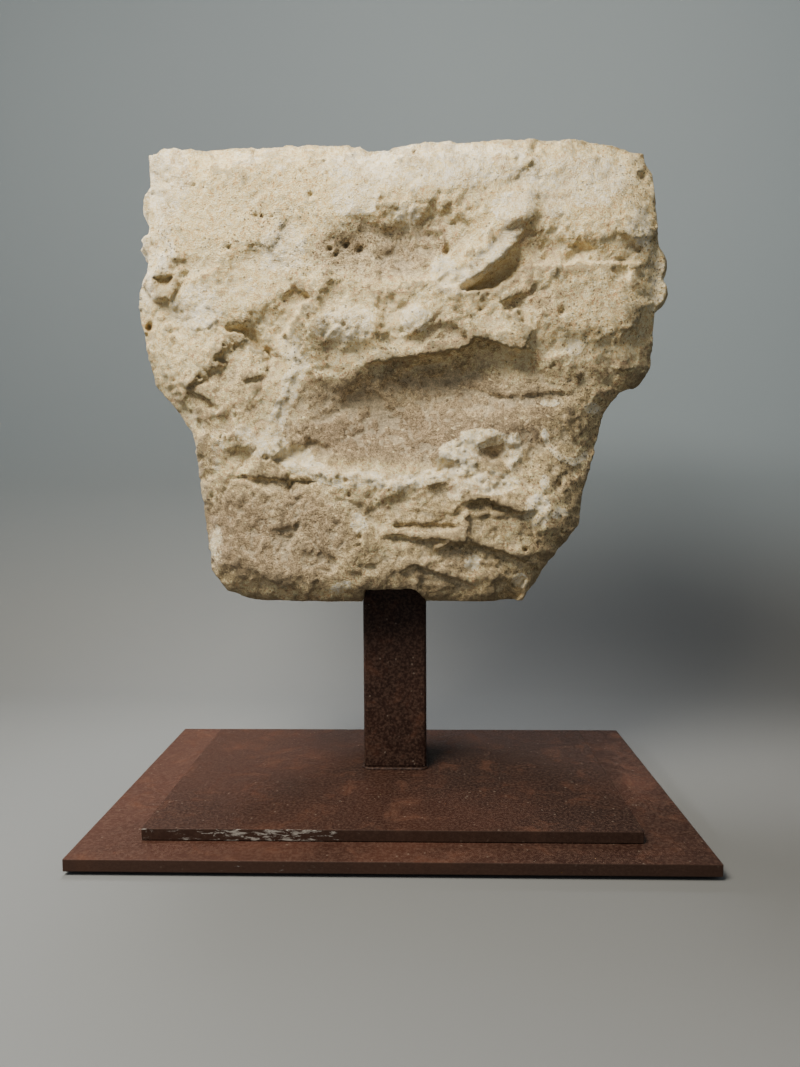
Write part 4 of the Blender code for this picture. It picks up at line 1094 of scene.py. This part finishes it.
def stoneMaterial():
    material, tree, shader, place = newMaterial("pale limestone")
    tones = {name: colour(*value) for name, value in stoneTones.items()}

    def held(name):
        return put(tree, "ShaderNodeAttribute", attribute_name=name).outputs["Fac"]

    chalk, rose, soot, hollow, broken = [held(n) for n in ("chalk", "rose", "soot", "hollow", "broken")]
    tone = noiseOf(tree, place, 16.0, 6.0, 0.55, 0.3)
    blotch = noiseOf(tree, place, 60.0, 9.0, 0.68, 0.4)
    level = put(tree, "ShaderNodeSeparateXYZ", {0: place}).outputs["Z"]
    # painted light: the stone is paler towards its top, where the light falls more strongly, and the dark tone
    # thins out there too
    litTop = ramp(tree, level, stone["bottom"] + 0.10, stone["bottom"] + 0.36, 0.0, 0.30)
    base = mixed(tree, ramp(tree, sums(tree, "ADD", tone, litTop), 0.44, 0.76), tones["mid"], tones["pale"])
    base = mixed(tree, ramp(tree, blotch, 0.50, 0.66, 0.0, 0.8), base, tones["pale"])
    paler = sums(tree, "ADD", blotch, sums(tree, "MULTIPLY", litTop, 0.2))
    base = mixed(tree, ramp(tree, paler, 0.47, 0.34, 0.0, 0.6), base, tones["dark"])
    aged = mixed(tree, ramp(tree, blotch, 0.35, 0.65), tones["aged"], tones["agedPale"])
    base = mixed(tree, broken, aged, base)
    pink = mixed(tree, ramp(tree, blotch, 0.38, 0.60), tones["roseDark"], tones["rose"])
    rosy = useGroup(tree, patches, place, Amount=rose, Scale=26.0, Edge=0.55)["Mask"]
    base = mixed(tree, sums(tree, "MULTIPLY", rosy, stoneLook["rose"]), base, pink)
    # painted shade: where the rose mask passes 1, in the scoop, the stone darkens to umber
    base = mixed(tree, ramp(tree, rose, 1.0, 1.6, 0.0, stoneLook["umberShade"]), base, tones["umberShade"])
    white = useGroup(tree, patches, place, Amount=chalk, Scale=95.0, Edge=0.16)["Mask"]
    chalky = mixed(tree, ramp(tree, blotch, 0.40, 0.58), tones["chalkDim"], tones["chalk"])
    base = mixed(tree, sums(tree, "MULTIPLY", white, stoneLook["chalk"]), base, chalky)
    drawnOut = stretched(tree, place, (0.55, 0.8, 1.0))
    crumbs = useGroup(tree, specks, drawnOut, Scale=330.0, Amount=0.24, Size=0.42)["Mask"]
    base = mixed(tree, sums(tree, "MULTIPLY", crumbs, stoneLook["crumbs"]), base, tones["crumb"])
    mottle = noiseOf(tree, place, 170.0, 7.0, 0.72, 0.5)
    base = mixed(tree, stoneLook["mottle"], base, ramp(tree, mottle, 0.40, 0.62, 0.24, 0.76), "OVERLAY")
    grit = sums(tree, "ADD", noiseOf(tree, place, 420.0, 6.0, 0.72), noiseOf(tree, place, 1100.0, 2.0, 0.5))
    base = mixed(tree, stoneLook["grit"], base, ramp(tree, grit, 0.80, 1.20, 0.14, 0.86), "OVERLAY")
    proud = ramp(tree, hollow, 0.42, 0.05)
    base = mixed(tree, sums(tree, "MULTIPLY", proud, stoneLook["proud"]), base, tones["chalk"])
    # painted shade: darker in hollows and along the painted creases, less where chalk fills them
    filled = sums(tree, "MULTIPLY", chalk, 0.45)
    deep = sums(tree, "SUBTRACT", ramp(tree, hollow, 0.72, 1.45, 0.0, stoneLook["deep"]), filled, True)
    base = mixed(tree, deep, base, tones["deep"])
    grime = sums(tree, "ADD", sums(tree, "MULTIPLY", soot, 0.55), 0.015)
    dots = useGroup(tree, specks, place, Scale=420.0, Amount=grime, Size=0.50)["Mask"]
    base = mixed(tree, sums(tree, "MULTIPLY", dots, stoneLook["grime"]), base, tones["grime"])
    coarse = useGroup(tree, grain, place, Scale=130.0, Pits=0.40)["Height"]
    bump = put(tree, "ShaderNodeBump", {"Height": coarse, "Strength": 0.80, "Distance": stoneLook["coarse"]})
    finer = put(tree, "ShaderNodeBump", {"Height": grit, "Strength": 0.95, "Distance": stoneLook["fine"],
                                         "Normal": bump.outputs["Normal"]})
    tree.links.new(base, shader.inputs["Base Color"])
    tree.links.new(finer.outputs["Normal"], shader.inputs["Normal"])
    shader.inputs["Roughness"].default_value = stoneLook["roughness"]
    shader.inputs["Specular IOR Level"].default_value = stoneLook["shine"]
    return material


def buildStone():
    material = stoneMaterial()
    pieces = [joinedObject("bellAndLid", [bellBody(), abacusBody(), coreBody(), helixStem(-1), helixStem(1)]
                           + [ovalBody(lobe[:3], lobe[3:]) for lobe in sideLobes] + flowerBodies())]
    for name, (leaf, turns) in leafRings.items():
        pieces.append(ringOf(name, [leafBody(*leaf)], *turns, material))
    corner = [spiralStem(-1), spiralStem(1), cornerWeb()]
    pieces.append(ringOf("corners", corner, *stone["cornerTurns"], material))
    pieces.append(ringOf("stalks", [stalkBody()], *stone["stalkTurns"], material))
    points, faces = [], []
    for piece in pieces:
        start = len(points)
        points += [tuple(vertex.co) for vertex in piece.data.vertices]
        faces += [tuple(start + k for k in face.vertices) for face in piece.data.polygons]
    item = meshObject("capitalStone", points, faces)
    for piece in pieces:
        bpy.data.objects.remove(piece, do_unlink=True)
    print("stone: forms joined")
    grid = item.modifiers.new("one stone", "REMESH")
    grid.mode, grid.voxel_size = "VOXEL", stone["voxel"] * stone["height"]
    settle(item)
    cutters = [joinedObject("lostChips", chipCutters()), joinedObject("fan", [fanCutter()]),
               joinedObject("inFrontOfTheBreak", [breakCutter()]), *seatCutters()]
    for cutter in cutters:
        cutBy(item, cutter, "INTERSECT" if cutter.name == "fan" else "DIFFERENCE")
    mesh = settle(item)
    for cutter in cutters:
        bpy.data.objects.remove(cutter, do_unlink=True)
    print("stone: broken and cut,", len(mesh.polygons), "faces")
    roughen(mesh)
    mesh.calc_loop_triangles()
    thin = item.modifiers.new("fewer faces", "DECIMATE")
    thin.ratio = min(1.0, stone["triangles"] / len(mesh.loop_triangles))
    thin.use_collapse_triangulate = True
    mesh = settle(item)
    dropCrumbs(mesh, stone["fewestPoints"])
    mesh.shade_smooth()
    paintMasks(mesh)
    mesh.materials.clear()
    mesh.materials.append(material)
    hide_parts("capital_stone")
    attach(item, "root")
    print("stone: finished,", len(mesh.polygons), "faces")


# The stand

# the post's base is painted darker than the plates' steel, as painted shade on its vertical face
steel = {
    "upperBase": (0.034, 0.011, 0.006), "lowerBase": (0.056, 0.021, 0.013), "postShadeBase": (0.020, 0.006, 0.003),
    "rust": (0.110, 0.042, 0.022), "dust": (0.16, 0.095, 0.068), "bare": (0.42, 0.40, 0.37),
    "edge": (0.030, 0.015, 0.010), "roughness": 0.62, "metallic": 0.10, "shine": 0.24,
}


def steelMaterial(name, base, edges, flecked=0.0):
    # oxide brown steel; edges is the strength of the bare flecks on the front edge, and
    # flecked the x that they are left of
    material, tree, shader, place = newMaterial(name)
    cloud = noiseOf(tree, place, 7.0, 5.0, 0.6, 0.4)
    blotch = noiseOf(tree, place, 38.0, 7.0, 0.65, 0.6)
    fine = noiseOf(tree, place, 420.0, 4.0, 0.6)
    shadedTone = colour(*(0.45 * part for part in base))
    # painted light and shade: lighter to the left, where the light falls, and darker to the right, broken up by
    # the cloud noise
    across = put(tree, "ShaderNodeSeparateXYZ", {0: place}).outputs["X"]
    litLeft = put(tree, "ShaderNodeMath", {0: across, 1: -0.9, 2: cloud}, operation="MULTIPLY_ADD").outputs[0]
    tone = mixed(tree, ramp(tree, litLeft, 0.34, 0.66), shadedTone, colour(*base))
    tone = mixed(tree, ramp(tree, blotch, 0.50, 0.72, 0.0, 0.40), tone, colour(*steel["rust"]))
    tone = mixed(tree, ramp(tree, fine, 0.38, 0.70, 0.0, 0.28), tone, colour(*steel["dust"]))
    dots = useGroup(tree, specks, place, Scale=260.0, Amount=0.05, Size=0.30)["Mask"]
    tone = mixed(tree, sums(tree, "MULTIPLY", dots, 0.30), tone, colour(0.30, 0.24, 0.19))
    if edges:
        facing = put(tree, "ShaderNodeSeparateXYZ", {0: put(tree, "ShaderNodeNewGeometry").outputs["Normal"]})
        front = ramp(tree, facing.outputs["Y"], -0.6, -0.9)
        tone = mixed(tree, sums(tree, "MULTIPLY", front, 0.75), tone, colour(*steel["edge"]))
        left = sums(tree, "SUBTRACT", ramp(tree, across, flecked + 0.05, flecked - 0.01, edges - 0.20, edges),
                    ramp(tree, across, flecked - 0.07, flecked - 0.10, 0.0, 0.10))
        drawnOut = stretched(tree, place, (0.45, 1.0, 1.6))
        chips = useGroup(tree, patches, drawnOut, Amount=left, Scale=210.0, Edge=0.10)["Mask"]
        bare = sums(tree, "MULTIPLY", front, chips)
        tone = mixed(tree, sums(tree, "MULTIPLY", bare, 0.60), tone, colour(*steel["bare"]))
    rough = ramp(tree, blotch, 0.35, 0.70, steel["roughness"] - 0.07, steel["roughness"] + 0.14)
    tree.links.new(rough, shader.inputs["Roughness"])
    tree.links.new(tone, shader.inputs["Base Color"])
    shader.inputs["Metallic"].default_value = steel["metallic"]
    shader.inputs["Specular IOR Level"].default_value = steel["shine"]
    height = useGroup(tree, grain, place, Scale=260.0, Pits=0.15)["Height"]
    bump = put(tree, "ShaderNodeBump", {"Height": height, "Strength": 0.35, "Distance": 0.0006})
    tree.links.new(bump.outputs["Normal"], shader.inputs["Normal"])
    return material


# black felt under the lower plate; its black also paints the dark band of shade in the gap under the plate's
# front edge
def feltMaterial():
    material, tree, shader, place = newMaterial("black felt")
    fuzz = noiseOf(tree, place, 900.0, 4.0, 0.6)
    tone = mixed(tree, fuzz, colour(0.008, 0.008, 0.009), colour(0.030, 0.029, 0.030))
    tree.links.new(tone, shader.inputs["Base Color"])
    shader.inputs["Roughness"].default_value = 1.0
    return material


def dress(node, material):
    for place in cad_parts[node].material_slots:
        place.material = material


weld = {"radius": 0.0016, "wobble": 0.0005, "corner": 0.0040, "lift": 0.0002}


def weldTree():
    # a lumpy bead along a closed square path round the post's foot
    tree, keys, given, made = openNodes("bead along a square", {
        "Width": "Float", "Corner": "Float", "Radius": "Float", "Wobble": "Float", "Centre": "Vector",
        "Material": "Material"})
    square = put(tree, "GeometryNodeCurvePrimitiveQuadrilateral", {
        "Width": given["Width"], "Height": given["Width"]})
    rounded = put(tree, "GeometryNodeFilletCurve", {"Curve": square.outputs[0], "Radius": given["Corner"]})
    fine = put(tree, "GeometryNodeResampleCurve", {"Curve": rounded.outputs[0], "Count": 260})
    there = tree.nodes.new("GeometryNodeInputPosition").outputs[0]
    lumps = put(tree, "ShaderNodeTexNoise", {"Vector": there, "Scale": 420.0, "Detail": 3.0}).outputs["Fac"]
    swell = put(tree, "ShaderNodeMath", {0: lumps, 1: given["Wobble"], 2: given["Radius"]},
                operation="MULTIPLY_ADD")
    section = put(tree, "GeometryNodeCurvePrimitiveCircle", {"Resolution": 10, "Radius": 1.0})
    tube = put(tree, "GeometryNodeCurveToMesh", {
        "Curve": fine.outputs[0], "Profile Curve": section.outputs[0], "Scale": swell.outputs[0]})
    moved = put(tree, "GeometryNodeTransform", {"Geometry": tube.outputs[0], "Translation": given["Centre"]})
    whole = put(tree, "GeometryNodeRealizeInstances", {0: moved.outputs[0]})
    smooth = put(tree, "GeometryNodeSetShadeSmooth", {0: whole.outputs[0]})
    shown = put(tree, "GeometryNodeSetMaterial", {"Geometry": smooth.outputs[0], "Material": given["Material"]})
    tree.links.new(shown.outputs[0], made["Geometry"])
    return tree, keys


def buildWeld(material):
    low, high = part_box("post")
    item = meshObject("weldBead", [], [])
    runNodes(item, "bead", *weldTree(), {
        "Width": high.x - low.x, "Corner": weld["corner"], "Radius": weld["radius"], "Wobble": weld["wobble"],
        "Centre": ((low.x + high.x) / 2, (low.y + high.y) / 2, low.z + weld["lift"]), "Material": material})
    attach(item, "root")


def buildStand():
    dress("upper_plate", steelMaterial("upper plate steel", steel["upperBase"], 0.48, -0.06))
    dress("lower_plate", steelMaterial("lower plate steel", steel["lowerBase"], 0.34, -0.05))
    post = steelMaterial("post steel", steel["postShadeBase"], 0.0)
    dress("post", post)
    dress("felt_underlay", feltMaterial())
    buildWeld(post)
    print("stand: dressed")


# Stage: a sweep of grey paper, a soft key light from the upper left, two small lights behind the stone,
# and the camera where the photographer stood

stage = {
    "wall": 0.62, "bend": 0.30, "front": 3.0, "half": 3.0, "tall": 3.2,
    # the paper's tone holds painted light and shade: the floor darker and the wall lighter to the right, the
    # wall bluish above a warmer floor
    "floorLeft": (0.178, 0.186, 0.190), "floorShadeRight": (0.118, 0.117, 0.113),
    "wallLeft": (0.146, 0.171, 0.190), "wallLightRight": (0.270, 0.314, 0.343),
    "toneTop": 0.42, "toneLeft": -0.40, "toneRight": 0.80, "sky": (0.62, 0.65, 0.68), "skyPower": 0.44,
}
lights = {
    "key": {"place": (-0.48, -0.68, 1.30), "size": 0.62, "power": 41.0, "aim": (0.0, 0.0, 0.35),
            "spread": 180.0, "tint": (1.0, 0.93, 0.80)},
    "back": {"place": (-0.20, 0.46, 1.40), "size": 0.50, "power": 4.2, "aim": (0.0, 0.12, 0.42),
             "spread": 70.0, "tint": (1.0, 1.0, 1.0)},
    "side": {"place": (-0.76, 0.50, 0.64), "size": 0.34, "power": 3.4, "aim": (0.0, 0.12, 0.46),
             "spread": 36.0, "tint": (1.0, 1.0, 1.0)},
}
view = {
    "place": (0.0224, -0.6894, 0.2994), "yaw": 1.395, "pitch": 3.993, "roll": -0.262, "lens": 24.967,
}


def sweepMaterial():
    # paper that is seen from its front side only
    material, tree, shader, place = newMaterial("grey paper")
    where = put(tree, "ShaderNodeSeparateXYZ", {0: place}).outputs
    # painted light and shade: the tone changes across the paper from left to right, and from the floor's tone
    # to the wall's
    across = ramp(tree, where["X"], stage["toneLeft"], stage["toneRight"])
    wall = mixed(tree, across, colour(*stage["wallLeft"]), colour(*stage["wallLightRight"]))
    floor = mixed(tree, across, colour(*stage["floorLeft"]), colour(*stage["floorShadeRight"]))
    tone = mixed(tree, ramp(tree, where["Z"], 0.0, stage["toneTop"]), floor, wall)
    tree.links.new(tone, shader.inputs["Base Color"])
    shader.inputs["Roughness"].default_value = 0.95
    shader.inputs["Specular IOR Level"].default_value = 0.1
    clear = tree.nodes.new("ShaderNodeBsdfTransparent")
    behind = tree.nodes.new("ShaderNodeNewGeometry").outputs["Backfacing"]
    both = put(tree, "ShaderNodeMixShader", {0: behind, 1: shader.outputs[0], 2: clear.outputs[0]})
    tree.links.new(both.outputs[0], tree.nodes["Material Output"].inputs["Surface"])
    return material


def buildSweep():
    wall, bend = stage["wall"], stage["bend"]
    line = [(-stage["front"], 0.0)]
    for k in range(33):
        turn = math.pi / 2.0 * k / 32
        line.append((wall - bend + bend * math.sin(turn), bend - bend * math.cos(turn)))
    line.append((wall, stage["tall"]))
    points = [(x, y, z) for y, z in line for x in (-stage["half"], stage["half"])]
    faces = [(2 * k, 2 * k + 1, 2 * k + 3, 2 * k + 2) for k in range(len(line) - 1)]
    item = meshObject("sweep", points, faces)
    item.data.shade_smooth()
    item.data.materials.append(sweepMaterial())


def softLight(name, place, size, power, aim, spread, tint):
    lamp = bpy.data.lights.new(name, "AREA")
    lamp.shape, lamp.size, lamp.energy, lamp.color = "SQUARE", size, power, tint
    lamp.spread = math.radians(spread)
    item = bpy.data.objects.new(name, lamp)
    item.location = place
    item.rotation_euler = (Vector(aim) - Vector(place)).to_track_quat("-Z", "Y").to_euler()
    item.visible_camera = False
    bpy.context.scene.collection.objects.link(item)


def buildLight():
    for name, values in lights.items():
        softLight(name, **values)
    world = bpy.data.worlds.new("room")
    world.use_nodes = True
    sky = world.node_tree.nodes["Background"]
    sky.inputs["Color"].default_value = colour(*stage["sky"])
    sky.inputs["Strength"].default_value = stage["skyPower"]
    bpy.context.scene.world = world


def buildCamera():
    yaw, pitch, roll = (math.radians(view[k]) for k in ("yaw", "pitch", "roll"))
    right = Vector((math.cos(yaw), math.sin(yaw), 0.0))
    ahead = Vector((-math.sin(yaw) * math.cos(pitch), math.cos(yaw) * math.cos(pitch), -math.sin(pitch)))
    up = right.cross(ahead)
    tiltedRight = right * math.cos(roll) + up * math.sin(roll)
    tiltedUp = up * math.cos(roll) - right * math.sin(roll)
    camera = bpy.data.cameras.new("camera")
    camera.lens, camera.sensor_width, camera.sensor_fit = view["lens"], 36.0, "AUTO"
    camera.clip_start, camera.clip_end = 0.01, 50.0
    item = bpy.data.objects.new("camera", camera)
    turned = Matrix((tiltedRight, tiltedUp, -ahead)).transposed().to_4x4()
    item.matrix_world = Matrix.Translation(view["place"]) @ turned
    bpy.context.scene.collection.objects.link(item)
    bpy.context.scene.camera = item


buildStone()
buildStand()
buildSweep()
buildLight()
buildCamera()
print("stage: set")
